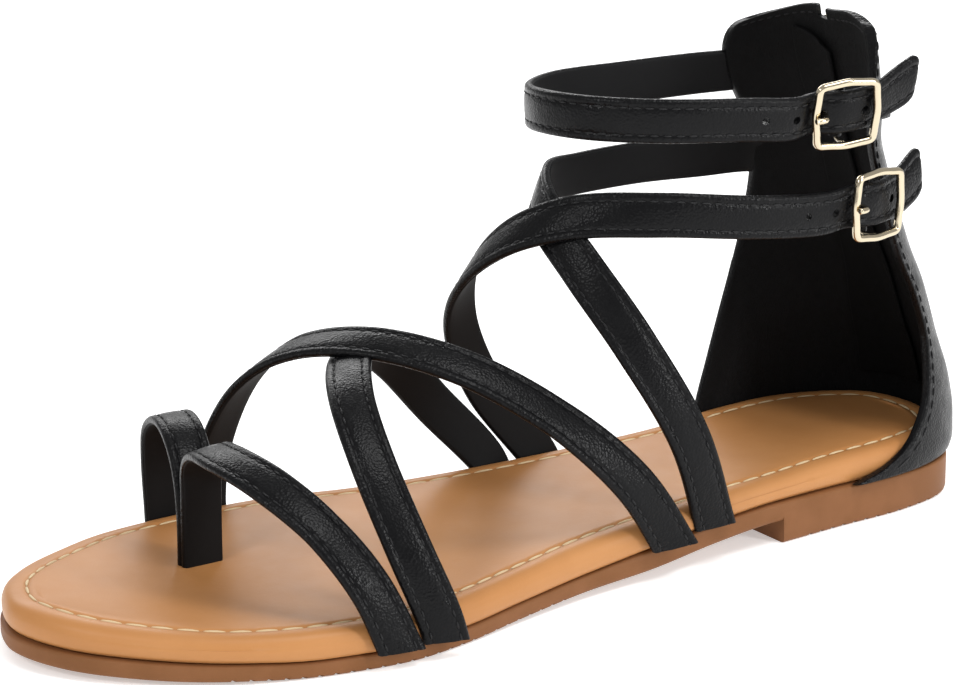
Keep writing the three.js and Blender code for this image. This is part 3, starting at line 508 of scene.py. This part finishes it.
def flat_strap(name, length, section=STRAP_SECTION):
    """A flat strap along X: a ring shaped to its section, drawn out to its length and closed."""
    across = np.concatenate([section["across"], -section["across"][-2:0:-1]])
    out = np.concatenate([section["out"], section["out"][-2:0:-1]])
    bpy.ops.mesh.primitive_circle_add(vertices=len(across), radius=MM)
    strap = named(name)
    shape(strap, lambda x, y, z: (0 * x, across, out))
    steps = max(round(length / STRAP_STEP), 2)
    apply(strap, "SCREW", axis="X", angle=0, screw_offset=length * MM, steps=steps,
          render_steps=steps, use_smooth_shade=True)
    edit(strap, merge, lambda: bpy.ops.mesh.select_all(action="DESELECT"),
         bpy.ops.mesh.select_non_manifold, lambda: bpy.ops.mesh.fill_holes(sides=0),
         lambda: bpy.ops.mesh.select_all(action="SELECT"), face_out)
    return strap


def line_it(piece, outside, inside, below=LINING_FROM):
    """Gives a flat piece its outside and its lining, and keeps its flat place as a UV map."""
    mesh = piece.data
    mesh.materials.append(outside)
    mesh.materials.append(inside)
    flat = mesh.uv_layers.new(name="flat")
    for face in mesh.polygons:
        face.material_index = 1 if face.center.z < below * MM else 0
    for loop in mesh.loops:
        flat.data[loop.index].uv = mesh.vertices[loop.vertex_index].co[:2]


def cut_tip(strap):
    """Rounds and slants the loose end, which is longer on its upper edge."""
    half = STRAP_WIDTH / 2

    def where(x, y, z):
        near = np.clip(x / TIP_CROWDED, 0, 1)
        x = np.where(x < TIP_CROWDED, TIP_CROWDED * near**1.7, x)
        corner = np.clip(1 - x / TIP_ROUND, 0, 1)
        narrow = 1 - TIP_ROUND / half * (1 - np.sqrt(1 - corner**2 * 0.999))
        edge = np.clip(1 - x / TIP_EDGE, 0, 1)
        thin = np.sqrt(1 - 0.8 * edge**2)
        slant = TIP_SLANT * (y * narrow / STRAP_WIDTH) * np.clip(1.6 - x / 16, 0, 1)
        return x + slant - TIP_BEYOND * np.clip(1 - x / 12, 0, 1), y * narrow, z * thin

    shape(strap, where)


def punch(strap, places):
    """Punches a strap's holes at these lengths along it."""
    for place in places:
        bpy.ops.mesh.primitive_cylinder_add(vertices=20, radius=HOLE_RADIUS * MM,
                                            depth=4 * STRAP_THICK * MM, location=(place * MM, 0, 0))
        carve(strap, bpy.context.object)


def trim_foot(piece, point):
    """Cuts a laid strap's foot off level with the seam between footbed and outsole."""
    across, along, up = point
    foot = Vector((across, HEEL_MIDDLE - along, up)) * MM
    cut_at = Vector((foot.x, foot.y, (seam(along) + TRIM_UP) * MM))
    rise = float(seam(along - 5) - seam(along + 5)) / 10
    bpy.ops.object.select_all(action="DESELECT")
    piece.select_set(True)
    bpy.context.view_layer.objects.active = piece
    for items in (piece.data.vertices, piece.data.edges, piece.data.polygons):
        items.foreach_set("select", [False] * len(items))
    for face in piece.data.polygons:
        face.select = (face.center - foot).length < TRIM_REACH * MM
    bpy.context.tool_settings.mesh_select_mode = (False, False, True)
    bpy.ops.object.mode_set(mode="EDIT")
    bpy.ops.mesh.bisect(plane_co=cut_at, plane_no=(0, -rise, 1), clear_inner=True, use_fill=True)
    bpy.ops.object.mode_set(mode="OBJECT")
    bpy.context.tool_settings.mesh_select_mode = (True, False, False)


def strap_piece(name, route, lift=0.0, away=away_from_foot, feet=(), tip=False, holes=()):
    """One strap with its two rows of stitches, laid along its route and trimmed at its feet."""
    frames = route_frames(route, away)
    length = frames["length"][-1]
    strap = flat_strap(name, length)
    punch(strap, [length_at(frames, along) for along in holes])
    line_it(strap, leather, lining)
    if tip:
        cut_tip(strap)
    rows = [stitch_row(name + "_stitches", -side if tip else 1, length - 1, side * STITCH_ACROSS,
                       STITCH_OUT, **STRAP_STITCH) for side in (-1, 1)]
    if tip:
        rows.append(stitch_row(name + "_stitches", -STITCH_ACROSS, STITCH_ACROSS, 0, STITCH_OUT,
                               **STRAP_STITCH))
        shape(rows[-1], lambda x, y, z: (
            y + TIP_SLANT * x / STRAP_WIDTH - TIP_STITCH_BEYOND, x, z))
    thread = join(rows)
    for piece in (strap, thread):
        lay(piece, frames, lift)
        for end in feet:
            trim_foot(piece, [route[key][end] for key in ("across", "along", "up")])
        smooth(piece, 50)
    return strap, thread


def length_at(frames, along):
    """How far along a strap its outer stretch comes to this place along the foot."""
    miss = np.abs(HEEL_MIDDLE - frames["at"][:, 1] - along) + 1000 * (frames["at"][:, 0] < 0)
    return frames["length"][np.argmin(miss)]


BLACK = (0.0045, 0.0045, 0.005)
leather = finish("black_leather", BLACK, 0.34, specular=0.13)
shine = pattern(leather, "ShaderNodeTexNoise", 4, Detail=5)
drive(leather, spread(leather, shine, 0.24, 0.38, 0.3, 0.7), "Roughness")
pebble = pattern(leather, "ShaderNodeTexVoronoi", 0.6, Randomness=1.0)
tint(leather, spread(leather, pebble, 0, 1, 0, 0.6),
     (0.0055, 0.0055, 0.006), (0.0035, 0.0035, 0.004))
relief(leather, pebble, 0.09)
relief(leather, pattern(leather, "ShaderNodeTexNoise", 3.2, Detail=3), 0.12)
lining = finish("matte_lining", (0.006, 0.006, 0.0065), 0.7, specular=0.16)
relief(lining, pattern(lining, "ShaderNodeTexNoise", 0.25, Detail=3), 0.03)
creases = pattern(lining, "ShaderNodeTexNoise", 6, coordinates="UV", stretch=(0.28, 3, 1), Detail=3)
relief(lining, creases, 0.9)
black_thread = finish("black_thread", (0.008, 0.008, 0.009), 0.5, specular=0.3)
relief(black_thread, pattern(black_thread, "ShaderNodeTexWave", 0.25), 0.04)

toe_straps, toe_threads = zip(
    strap_piece("toe_ring", TOE_RING, away=away_from_toe, feet=(0,)),
    strap_piece("toe_strap", TOE_STRAP, feet=(0,)),
)
for piece in toe_straps:
    clothe(piece, "upper_leather")
for piece in toe_threads:
    clothe(piece, "upper_leather", black_thread)
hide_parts("upper_toe_straps")

# ------------------------------------------------------------------ crossed foot straps
# Two straps that cross over the ball of the foot, where the upper one is sewn to the lower.
CROSS_OVER = table("across along up turn", [
    (33.8, 98.3, 5, 0), (33.9, 113, 26, -7), (27.5, 130, 42.5, -15), (15.5, 147, 54, -3),
    (0, 161, 58, 10), (-16.5, 170.5, 54.5, 15), (-30, 175.5, 44, 10), (-40.5, 177.5, 28, 5),
    (-46.8, 177, 12, -3), (-46.9, 176.6, 2, -3),
])
CROSS_UNDER = table("across along up turn", [
    (47.2, 171.4, 2, 5), (46.9, 173.7, 10, 6), (42.2, 178.6, 26, 8), (31, 180.5, 43, 4),
    (16, 176.5, 53.2, 0), (-1, 166.5, 56.4, 2), (-17, 152.5, 53.4, 0), (-28.5, 137.5, 44, 0),
    (-33, 123.5, 29.5, 0), (-28.2, 110.3, 13, 0), (-27.4, 107.4, 5, 0),
])
cross_straps, cross_threads = zip(
    strap_piece("cross_strap_over", CROSS_OVER, lift=0.9, feet=(0, -1)),
    strap_piece("cross_strap_under", CROSS_UNDER, lift=-0.9, feet=(0, -1)),
)
for piece in cross_straps:
    clothe(piece, "upper_leather")
for piece in cross_threads:
    clothe(piece, "upper_leather", black_thread)
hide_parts("upper_cross_straps")

# ------------------------------------------------------------------ heel counter
# A high stiffened heel piece: leather outside, a matte lining inside, its edges turned in and
# stitched. It narrows up the leg, and a zip opens it down the back.
COUNTER_FOOT = 9.8
COUNTER_WALL = 2.6
HALF_GIRTH = 32
COUNTER_HIGH = 112
CORNER_ROUND = (15, 9)
COUNTER = table("up back outer inner widest squareOut squareIn edgeOut edgeIn", [
    (COUNTER_FOOT, -3.2, 29.3, 27, 46, 2.4, 2.4, 44, 50),
    (13, -4.2, 29.5, 27.3, 45, 2.4, 2.4, 32, 49.5),
    (18, -4.2, 29.3, 27.5, 43, 2.35, 2.35, 23.5, 48.5),
    (28, -2.4, 28.6, 27.5, 40, 2.3, 2.3, 17.5, 45.5),
    (40, 2, 27.6, 27.3, 38, 2.2, 2.2, 16, 42), (52, 6.5, 27, 27, 38, 2.2, 2.2, 20, 38.5),
    (64, 12, 26.8, 26.8, 39, 2.05, 2.1, 26.5, 35.5), (76, 17, 26.8, 26.6, 41, 2, 2.1, 31.5, 34.3),
    (90, 21.8, 26.4, 26.4, 43, 1.9, 2, 36, 37), (103, 26, 28, 26.2, 45, 2.3, 2, 38.5, 42.5),
    (122.5, 31.5, 29, 25.8, 48, 2.6, 2, 39, 45.5),
])
RIM_HEIGHT = table("around up", [
    (-1, 120.5), (-0.5, 121.8), (-0.03, 121), (0.08, 121.6), (0.25, 120.9), (0.5, 119), (1, 115),
])
SLIT = {"width": 3.2, "foot": 109.4, "cut": 10, "deep": 20}
counter_column = {key: column(COUNTER, "up", key) for key in COUNTER if key != "up"}
rim_height = column(RIM_HEIGHT, "around", "up")


def on_counter(x, y, z):
    """Wraps a flat panel round the heel: X from the outer edge over the back to the inner one, Y up
    from its foot, and Z out of its face."""
    around = np.clip(x / HALF_GIRTH, -1, 1)
    outer = around < 0
    rim = rim_height(around)
    up = COUNTER_FOOT + (rim - COUNTER_FOOT) * y / COUNTER_HIGH

    def value(outside, inside=None):
        return np.where(outer, counter_column[outside](up), counter_column[inside or outside](up))

    half = value("outer", "inner") + z
    back = counter_column["back"](up) - z
    reach = counter_column["widest"](up) - back
    power = value("squareOut", "squareIn") / 2
    ahead = (value("edgeOut", "edgeIn") - back) / reach
    inside = np.clip(1 - ahead, 0, 1)
    edge_turn = np.where(ahead < 1, np.arccos(inside**power) / (np.pi / 2), ahead)
    corner = np.where(outer, *CORNER_ROUND)
    over = np.clip(up - (rim - corner), 0, corner)
    cut = corner - np.sqrt(corner**2 - over**2)
    turn = np.abs(around) * edge_turn * (1 - cut / HALF_GIRTH)
    bend = np.minimum(turn, 1) * np.pi / 2
    round_bend = back + reach * (1 - np.cos(bend) ** (1 / power))
    along = np.where(turn < 1, round_bend, back + reach * turn)
    across = half * np.sin(bend) ** (1 / power)
    up = np.maximum(up, seam(along) + 0.3)
    return np.where(outer, across, -across), HEEL_MIDDLE - along, up


counter = flat_sheet("counter_panel", 2 * HALF_GIRTH, COUNTER_HIGH, 80, 112)
shape(counter, lambda x, y, z: (x - HALF_GIRTH, y, z))
apply(counter, "SOLIDIFY", thickness=COUNTER_WALL * MM, offset=-1)
apply(counter, "BEVEL", width=0.9 * MM, segments=3, limit_method="ANGLE",
      angle_limit=math.radians(60))
bpy.ops.mesh.primitive_cube_add(size=1, location=(0, (SLIT["foot"] + SLIT["cut"] / 2) * MM, 0))
slit = named("slit")
slit.scale = [SLIT[side] * MM for side in ("width", "cut", "deep")]
settle(slit)
carve(counter, slit)
line_it(counter, leather, lining, -0.8 * COUNTER_WALL)
EDGE_STITCH_IN = 2.3
counter_stitches = []
for start, end in ((-29, -2.6), (2.6, 29)):
    for out in (0.05, -COUNTER_WALL - 0.02):
        counter_stitches.append(stitch_row("counter_stitches", start, end,
                                           COUNTER_HIGH - EDGE_STITCH_IN, out, **STRAP_STITCH))
for side in (-1, 1):
    row = stitch_row("counter_stitches", 2, COUNTER_HIGH - 3, 0, 0.05, **STRAP_STITCH)
    shape(row, lambda x, y, z: (side * (HALF_GIRTH - EDGE_STITCH_IN) - y, x, z))
    counter_stitches.append(row)
counter_thread = join(counter_stitches)
for piece in (counter, counter_thread):
    shape(piece, on_counter)
edit(counter, face_out)

# A soft flap inside keeps the zip off the heel; its top slopes down to its free edge.
GUARD = {"from": -1.6, "wide": 12, "foot": 12.5, "head": 106.5, "slope": 5, "thick": 1,
         "off": 0.25, "lifted": 0.7}
guard = flat_sheet("zip_guard", GUARD["wide"], GUARD["head"] - GUARD["foot"], 14, 70)


def guard_place(x, y, z):
    share = y / (GUARD["head"] - GUARD["foot"])
    free = 1 - x / GUARD["wide"]
    high = GUARD["foot"] + share * (GUARD["head"] - GUARD["foot"] - GUARD["slope"] * free**1.5)
    return GUARD["from"] + x, high, z - COUNTER_WALL - GUARD["off"] - GUARD["lifted"] * free**2


apply(guard, "SOLIDIFY", thickness=GUARD["thick"] * MM, offset=-1)
apply(guard, "BEVEL", width=0.35 * MM, segments=3, limit_method="ANGLE",
      angle_limit=math.radians(60))
shape(guard, guard_place)
shape(guard, on_counter)
edit(guard, face_out)
smooth(guard, 50)
clothe(guard, "upper_leather", lining)

# ------------------------------------------------------------------ back zip
# A black zip sewn under the slit down the counter's back, its slider closed near the top, with a
# pale gold slider and pull tab.
ZIP_WIDTH = 9
ZIP_GROOVE = 1.2
ZIP_FOOT = 22
ZIP_HEAD = 118
SLOT_OVER = {"up": 8, "out": 4}      # what the slot's cutter has to spare above and outside
TAPE_THICK = 0.5
CLEAR = 0.3


def on_back(x, y, z):
    """Lays a flat strip up the counter's back: Y runs up it, and Z is out of the leather's face."""
    return -x, HEEL_MIDDLE - (counter_column["back"](y) - z), y


zip_slot = flat_sheet("zip_slot", ZIP_WIDTH + 2 * CLEAR, ZIP_HEAD - ZIP_FOOT + SLOT_OVER["up"],
                      1, 60)
shape(zip_slot, lambda x, y, z: (
    x - ZIP_WIDTH / 2 - CLEAR, y + ZIP_FOOT - CLEAR, z + SLOT_OVER["out"]))
apply(zip_slot, "SOLIDIFY", thickness=(SLOT_OVER["out"] + ZIP_GROOVE) * MM, offset=-1)
shape(zip_slot, on_back)
edit(zip_slot, face_out)
carve(counter, zip_slot)
smooth(counter, 45)
smooth(counter_thread, 80)
clothe(counter, "upper_leather")
clothe(counter_thread, "upper_leather", black_thread)
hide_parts("heel_counter")

tape = flat_sheet("zip_tape_cloth", ZIP_WIDTH, ZIP_HEAD - ZIP_FOOT, 12, 60)
shape(tape, lambda x, y, z: (x - ZIP_WIDTH / 2, y + ZIP_FOOT, z - TAPE_THICK))
apply(tape, "SOLIDIFY", thickness=TAPE_THICK * MM, offset=-1)
woven = finish("woven_tape", (0.012, 0.012, 0.013), 0.85)
relief(woven, pattern(woven, "ShaderNodeTexWave", 0.5, coordinates="UV"), 0.08)
line_it(tape, woven, woven)
shape(tape, on_back)
edit(tape, face_out)
clothe(tape, "zip_tape")
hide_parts("zip_tape")
TOOTH_PITCH = 1.5
TOOTH = (2.3, 0.72, 1.1)      # across the zip, up it and out
TEETH_APART = 0.75            # how far each side's teeth stand from the zip's middle
TEETH_IN = 2
teeth = []
for side in (-1, 1):
    first_up = ZIP_FOOT + TEETH_IN + side * TOOTH_PITCH / 4
    bpy.ops.mesh.primitive_cube_add(size=1, location=(side * TEETH_APART * MM, first_up * MM, 0))
    tooth = named("zip_teeth")
    tooth.scale = [size * MM for size in TOOTH]
    settle(tooth)
    apply(tooth, "BEVEL", width=0.2 * MM, segments=2)
    count = int((ZIP_HEAD - ZIP_FOOT - 2 * TEETH_IN) / TOOTH_PITCH)
    apply(tooth, "ARRAY", count=count, use_relative_offset=False, use_constant_offset=True,
          constant_offset_displace=(0, TOOTH_PITCH * MM, 0))
    teeth.append(tooth)
zip_teeth = join(teeth)
shape(zip_teeth, on_back)
edit(zip_teeth, face_out)
smooth(zip_teeth)
dark_metal = finish("dark_teeth", (0.02, 0.02, 0.022), 0.35, 0.6)
relief(dark_metal, pattern(dark_metal, "ShaderNodeTexNoise", 0.4), 0.01)
clothe(zip_teeth, "zip_tape", dark_metal)

GOLD = (0.60, 0.52, 0.38)
gold = finish("pale_gold", GOLD, 0.2, 1.0)
drive(gold, spread(gold, pattern(gold, "ShaderNodeTexNoise", 3, Detail=4), 0.08, 0.18), "Roughness")
relief(gold, pattern(gold, "ShaderNodeTexNoise", 0.8, Detail=2), 0.006)


def refined(node, name, edge):
    """A finely edged copy of one of the model's metal pieces."""
    bpy.ops.object.select_all(action="DESELECT")
    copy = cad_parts[node].copy()
    copy.data = copy.data.copy()
    copy.data.materials.clear()
    for key in list(copy.keys()):
        del copy[key]
    copy.parent = None
    copy.name = copy.data.name = name
    bpy.context.scene.collection.objects.link(copy)
    edit(copy, merge, lambda: bpy.ops.mesh.dissolve_limited(angle_limit=math.radians(3)))
    apply(copy, "BEVEL", width=edge * MM, segments=2, limit_method="ANGLE",
          angle_limit=math.radians(35))
    smooth(copy)
    return copy


slider = refined("zip_slider", "zip_slider_body", 0.25)
clothe(slider, "gold_metal", gold)
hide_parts("zip_slider")
pull_tab = refined("zip_pull", "zip_pull_tab", 0.2)
clothe(pull_tab, "gold_metal", gold)
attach(pull_tab, "pull")
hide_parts("zip_pull")

# ------------------------------------------------------------------ instep and ankle straps
# Two instep straps cross in front of the leg, and the upper one runs back through the lower buckle.
# The lower one's inner end runs into the counter's wall. The ankle strap goes once round the leg,
# through the upper buckle. Both buckled straps have a row of round holes.
INSTEP_UNDER = table("across along up turn", [
    (32.4, 85.6, 6, 0), (34.8, 96.6, 34, -4), (28, 107.8, 56.5, -4), (15.5, 115, 73.3, -2),
    (1, 115.5, 82.8, -3), (-12, 107.5, 85.8, -2), (-22, 91, 83.8, 2), (-26.6, 67, 82.5, 6),
    (-26.3, 48, 81.5, 8), (-25.6, 35.5, 81, 10), (-23.9, 31, 80.8, 12),
])
INSTEP_OVER = table("across along up turn", [
    (32.2, 57, 80.6, 17), (30.6, 76, 82.2, 12), (23, 98, 84.3, 2), (10.5, 113.5, 83.2, -6),
    (-3.5, 121.5, 76.6, -7), (-17, 123.5, 65, -5), (-27, 119, 50, -7), (-30.2, 110, 32, -7),
    (-26, 96.4, 12.5, -8), (-25.2, 93.6, 6, -8),
])
ANKLE = table("across along up turn", [
    (32.4, 67, 104.5, 14), (31, 79, 105.6, 12), (24.5, 98, 106.5, 10), (13, 110, 106.6, 10),
    (-1.3, 113.2, 105.9, 10), (-15, 107.5, 104.3, 9), (-25, 93, 103.2, 8), (-28.6, 70.5, 102, 8),
    (-26.9, 50, 102, 8), (-24.7, 39, 102, 8),
])
# Each buckle's middle and how it is turned, then its strap's loose end in the buckle's own frame:
# back along the strap, up its width, and out from its face.
BUCKLES = {
    "upper": {"middle": (35.5, 53.9, 104.5), "yaw": -12, "lean": 9, "roll": 2},
    "lower": {"middle": (34, 42.3, 81), "yaw": 9, "lean": 0, "roll": -2},
}
LOOSE_ENDS = {
    "upper": table("back rise out turn", [
        (18.4, 3.3, -6.4, 2), (14.6, 2.2, -5, 6), (11, 1.1, -3.7, 12), (7.6, 0.2, -2.9, 16),
        (0, 0, -1.6, 18), (-7.6, 0, -2.9, 18),
    ]),
    "lower": table("back rise out turn", [
        (19, 3.5, -5.9, 5), (15.6, 2.1, -5, 6), (11.4, 0.8, -4, 9), (7.6, 0.3, -3.1, 12),
        (0, 0, -1.6, 17), (-7.6, 0, -2.9, 18),
    ]),
}
STRAP_HOLES = {"upper": (75, 67, 58.2, 48.5), "lower": (62.5, 54.5, 47.8, 36.5)}


def buckle_matrix(level):
    """The buckle's own frame, in millimetres: X back along the strap, Y up its width, Z out."""
    row = BUCKLES[level]
    across, along, up = row["middle"]
    out_of_leg = Matrix(((0, 0, 1, 0), (1, 0, 0, 0), (0, 1, 0, 0), (0, 0, 0, 1)))
    yaw, lean, roll = (Matrix.Rotation(math.radians(row[key]), 4, axis)
                       for key, axis in (("yaw", "Y"), ("lean", "X"), ("roll", "Z")))
    turned = yaw @ lean @ roll
    return Matrix.Translation((across, HEEL_MIDDLE - along, up)) @ out_of_leg @ turned


def buckled_route(level, rest):
    """A buckled strap's route: its loose end, the stretch through its buckle, then the rest."""
    frame_of_buckle = buckle_matrix(level)
    ends = LOOSE_ENDS[level]
    points = zip(ends["back"], ends["rise"], ends["out"])
    placed = [frame_of_buckle @ Vector(point) for point in points]
    start = {
        "across": [p.x for p in placed], "along": [HEEL_MIDDLE - p.y for p in placed],
        "up": [p.z for p in placed], "turn": ends["turn"],
    }
    return {key: np.concatenate([start[key], rest[key]]) for key in rest}


instep_straps, instep_threads = zip(
    strap_piece("instep_strap_over", buckled_route("lower", INSTEP_OVER), feet=(-1,), tip=True,
                holes=STRAP_HOLES["lower"]),
    strap_piece("instep_strap_under", INSTEP_UNDER, lift=-1.3, feet=(0,)),
)
ankle_strap, ankle_thread = strap_piece("ankle_strap", buckled_route("upper", ANKLE), tip=True,
                                        holes=STRAP_HOLES["upper"])
for piece in (*instep_straps, ankle_strap):
    clothe(piece, "upper_leather")
for piece in (*instep_threads, ankle_thread):
    clothe(piece, "upper_leather", black_thread)
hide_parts("upper_instep_straps")
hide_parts("upper_ankle_strap")

# ------------------------------------------------------------------ buckles
# Cast pale gold buckles with round corners and slightly bowed bars. A prong turns on the hidden
# middle bar, and a leather tab ties that bar to the counter.
BUCKLE = 16.5
WIRE = 1.85
WIRE_THICK = 1.8
BOW = 0.5
SQUARE = 11             # how square the frame is: 2 would be round
BAR_RADIUS = 0.5
BAR_OUT = -5.2
PRONG_RADIUS = 0.75
EYE_RADIUS = 1.5
EYE_WIRE_RADIUS = 0.5
LOOP_WIDTH = 12.4
LOOP_LOW = -7.1
TABS = {
    "upper": table("across along up turn", [
        (30, 51.6, 104.8, 15), (28.9, 46.5, 104.8, 12), (28.6, 42, 104.6, 8), (27.7, 38, 104.3, 8),
        (26.1, 35.2, 104, 8),
    ]),
    "lower": table("across along up turn", [
        (28, 40.5, 81.2, 10), (27.3, 38, 81.4, 10), (26.5, 35, 81, 10), (24.6, 31, 80.8, 10),
        (22.7, 28.4, 80.6, 10),
    ]),
}
TAB_SECTION = table("across out", [
    (0, 0.62), (3.2, 0.6), (4.2, 0.52), (4.6, 0.3), (4.7, 0), (4.6, -0.3), (4.2, -0.5), (0, -0.55),
])
LOOP_SECTION = table("across out", [
    (0, 1.6), (0.61, 1.48), (1.13, 1.13), (1.48, 0.61), (1.6, 0), (1.48, -0.61), (1.13, -1.13),
    (0.61, -1.48), (0, -1.6),
])
PRONG_LINE = [
    (-1.5, -5.6), (-3.3, -5.6), (-4.7, -4.5), (-5.05, -2.6), (-5.35, 0.3), (-6.3, 1.9),
    (-8.9, 2.15),
]
WIRE_STEPS = 12
WIRE_RINGS = 40


def bent_wire(name, points, radius):
    """A round wire along a line of points, rounded at its ends."""
    bpy.ops.mesh.primitive_cylinder_add(vertices=16, radius=radius * MM, depth=MM,
                                        rotation=(0, math.pi / 2, 0))
    wire = named(name)
    settle(wire)
    line = through(points, WIRE_STEPS)
    frames = frames_of(line, np.tile([0.0, 1.0, 0.0], (len(line), 1)))
    length = frames["length"][-1]
    shape(wire, lambda x, y, z: ((x + 0.5) * length, y, z))

    def slices():
        for share in np.linspace(0, 1, WIRE_RINGS)[1:-1]:
            bpy.ops.mesh.select_all(action="SELECT")
            bpy.ops.mesh.bisect(plane_co=(share * length * MM, 0, 0), plane_no=(1, 0, 0))

    edit(wire, slices)
    apply(wire, "BEVEL", width=radius * 0.6 * MM, segments=3, limit_method="ANGLE",
          angle_limit=math.radians(60))
    lay(wire, frames)
    return wire


def buckle_pieces(level):
    """A buckle's frame with its bar, its prong and its tab, at their place."""
    bpy.ops.mesh.primitive_torus_add(major_segments=128, minor_segments=16,
                                     major_radius=(BUCKLE - WIRE) / 2 * MM,
                                     minor_radius=WIRE / 2 * MM)
    rim = named(level + "_buckle_frame")
    half = (BUCKLE - WIRE) / 2

    def square_up(x, y, z):
        angle = np.arctan2(y, x)
        out = np.hypot(x, y) - half
        c, s = np.cos(angle), np.sin(angle)
        soft = (np.abs(c) ** SQUARE + np.abs(s) ** SQUARE) ** (-1 / SQUARE)
        middle = np.array([half * soft * c, half * soft * s])
        middle += BOW * np.cos(2 * angle) ** 2 * np.array([c, s])
        normal = np.array([np.sign(part) * np.abs(part) ** (SQUARE - 1) for part in (c, s)])
        normal /= np.hypot(*normal)
        wide = np.sign(out) * (WIRE / 2) * np.abs(out / (WIRE / 2)) ** 0.85
        high = np.sign(z) * (WIRE_THICK / 2) * np.abs(z / (WIRE / 2)) ** 0.9
        return middle[0] + normal[0] * wide, middle[1] + normal[1] * wide, high

    shape(rim, square_up)
    bar_line = [
        (0, -half, -0.3), (0, -half - 0.4, -3), (0, -half, BAR_OUT + 0.5),
        (0, -half + 1.2, BAR_OUT), (0, 0, BAR_OUT), (0, half - 2, BAR_OUT),
        (0, half - 1.3, BAR_OUT + 0.6), (0, half - 0.8, -2.8), (0, half - 0.2, -0.3),
    ]
    rim = join([rim, bent_wire(level + "_bar", bar_line, BAR_RADIUS)])
    prong_line = [(back, 0, out) for back, out in PRONG_LINE]
    prong = bent_wire(level + "_prong_wire", prong_line, PRONG_RADIUS)
    bpy.ops.mesh.primitive_torus_add(major_segments=32, minor_segments=12,
                                     major_radius=EYE_RADIUS * MM,
                                     minor_radius=EYE_WIRE_RADIUS * MM,
                                     rotation=(math.pi / 2, 0, 0))
    eye = named("eye")
    eye.location.z = BAR_OUT * MM
    settle(eye)
    prong = join([prong, eye])
    loop = flat_strap(level + "_tab_loop", LOOP_WIDTH, LOOP_SECTION)
    shape(loop, lambda x, y, z: (y, x + LOOP_LOW, z + BAR_OUT))
    turned = np.array(buckle_matrix(level))
    for piece in (rim, prong, loop):
        shape(piece, lambda x, y, z: (turned @ np.array([x, y, z, np.ones_like(x)]))[:3])
    band_frames = route_frames(TABS[level])
    band = flat_strap(level + "_tab_band", band_frames["length"][-1], TAB_SECTION)
    lay(band, band_frames)
    tab = join([loop, band])
    for piece in (rim, prong, tab):
        edit(piece, face_out)
        smooth(piece, 50)
    return rim, prong, tab


for level in BUCKLES:
    rim, prong, tab = buckle_pieces(level)
    clothe(rim, "gold_metal", gold)
    clothe(prong, "gold_metal", gold)
    clothe(tab, "upper_leather", leather)
    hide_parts(level + "_buckle")
    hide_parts(level + "_prong")
    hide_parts(level + "_buckle_tab")

# ------------------------------------------------------------------ floor, light and camera
# A white studio table under four soft lights: above, beyond the toe, outside the heel and on the
# inner side. The floor, the lights and the camera are in metres.
bpy.ops.mesh.primitive_plane_add(size=8)
floor = named("studio_floor")
white = finish("studio_white", (0.95, 0.95, 0.95), 0.9)
glowing = white.node_tree.nodes["Principled BSDF"].inputs
glowing["Emission Color"].default_value = (1, 1, 1, 1)
glowing["Emission Strength"].default_value = 0.4
floor.data.materials.append(white)
sky = bpy.data.worlds.new("studio")
sky.use_nodes = True
sky_light = sky.node_tree.nodes["Background"].inputs
sky_light["Color"].default_value = (1, 1, 1, 1)
sky_light["Strength"].default_value = 0.5
bpy.context.scene.world = sky
bpy.context.scene.view_settings.view_transform = "Standard"
AIM = Vector((-0.0085, -0.0938, 0.0509))


def softbox(name, place, size, power):
    bpy.ops.object.light_add(type="AREA", location=place)
    light = bpy.context.object
    light.name = name
    light.data.shape = "RECTANGLE"
    light.data.size, light.data.size_y = size
    light.data.energy = power
    light.rotation_euler = (AIM - Vector(place)).to_track_quat("-Z", "Y").to_euler()


softbox("top", (0.5, 0.15, 1.25), (0.6, 0.6), 8)
softbox("key", (0.3, -1.1, 0.8), (0.4, 0.25), 4)
softbox("side", (1.2, 0.5, 0.5), (0.25, 0.6), 8)
softbox("rear", (-0.9, 0.2, 0.6), (1.0, 0.3), 5.5)
bpy.ops.object.camera_add(location=(0.6966, -0.5711, 0.3065))
camera = bpy.context.object
camera.rotation_euler = (AIM - camera.location).to_track_quat("-Z", "Y").to_euler()
camera.data.sensor_width = 36
camera.data.lens = 143.25
camera.data.clip_end = 20
bpy.context.scene.camera = camera
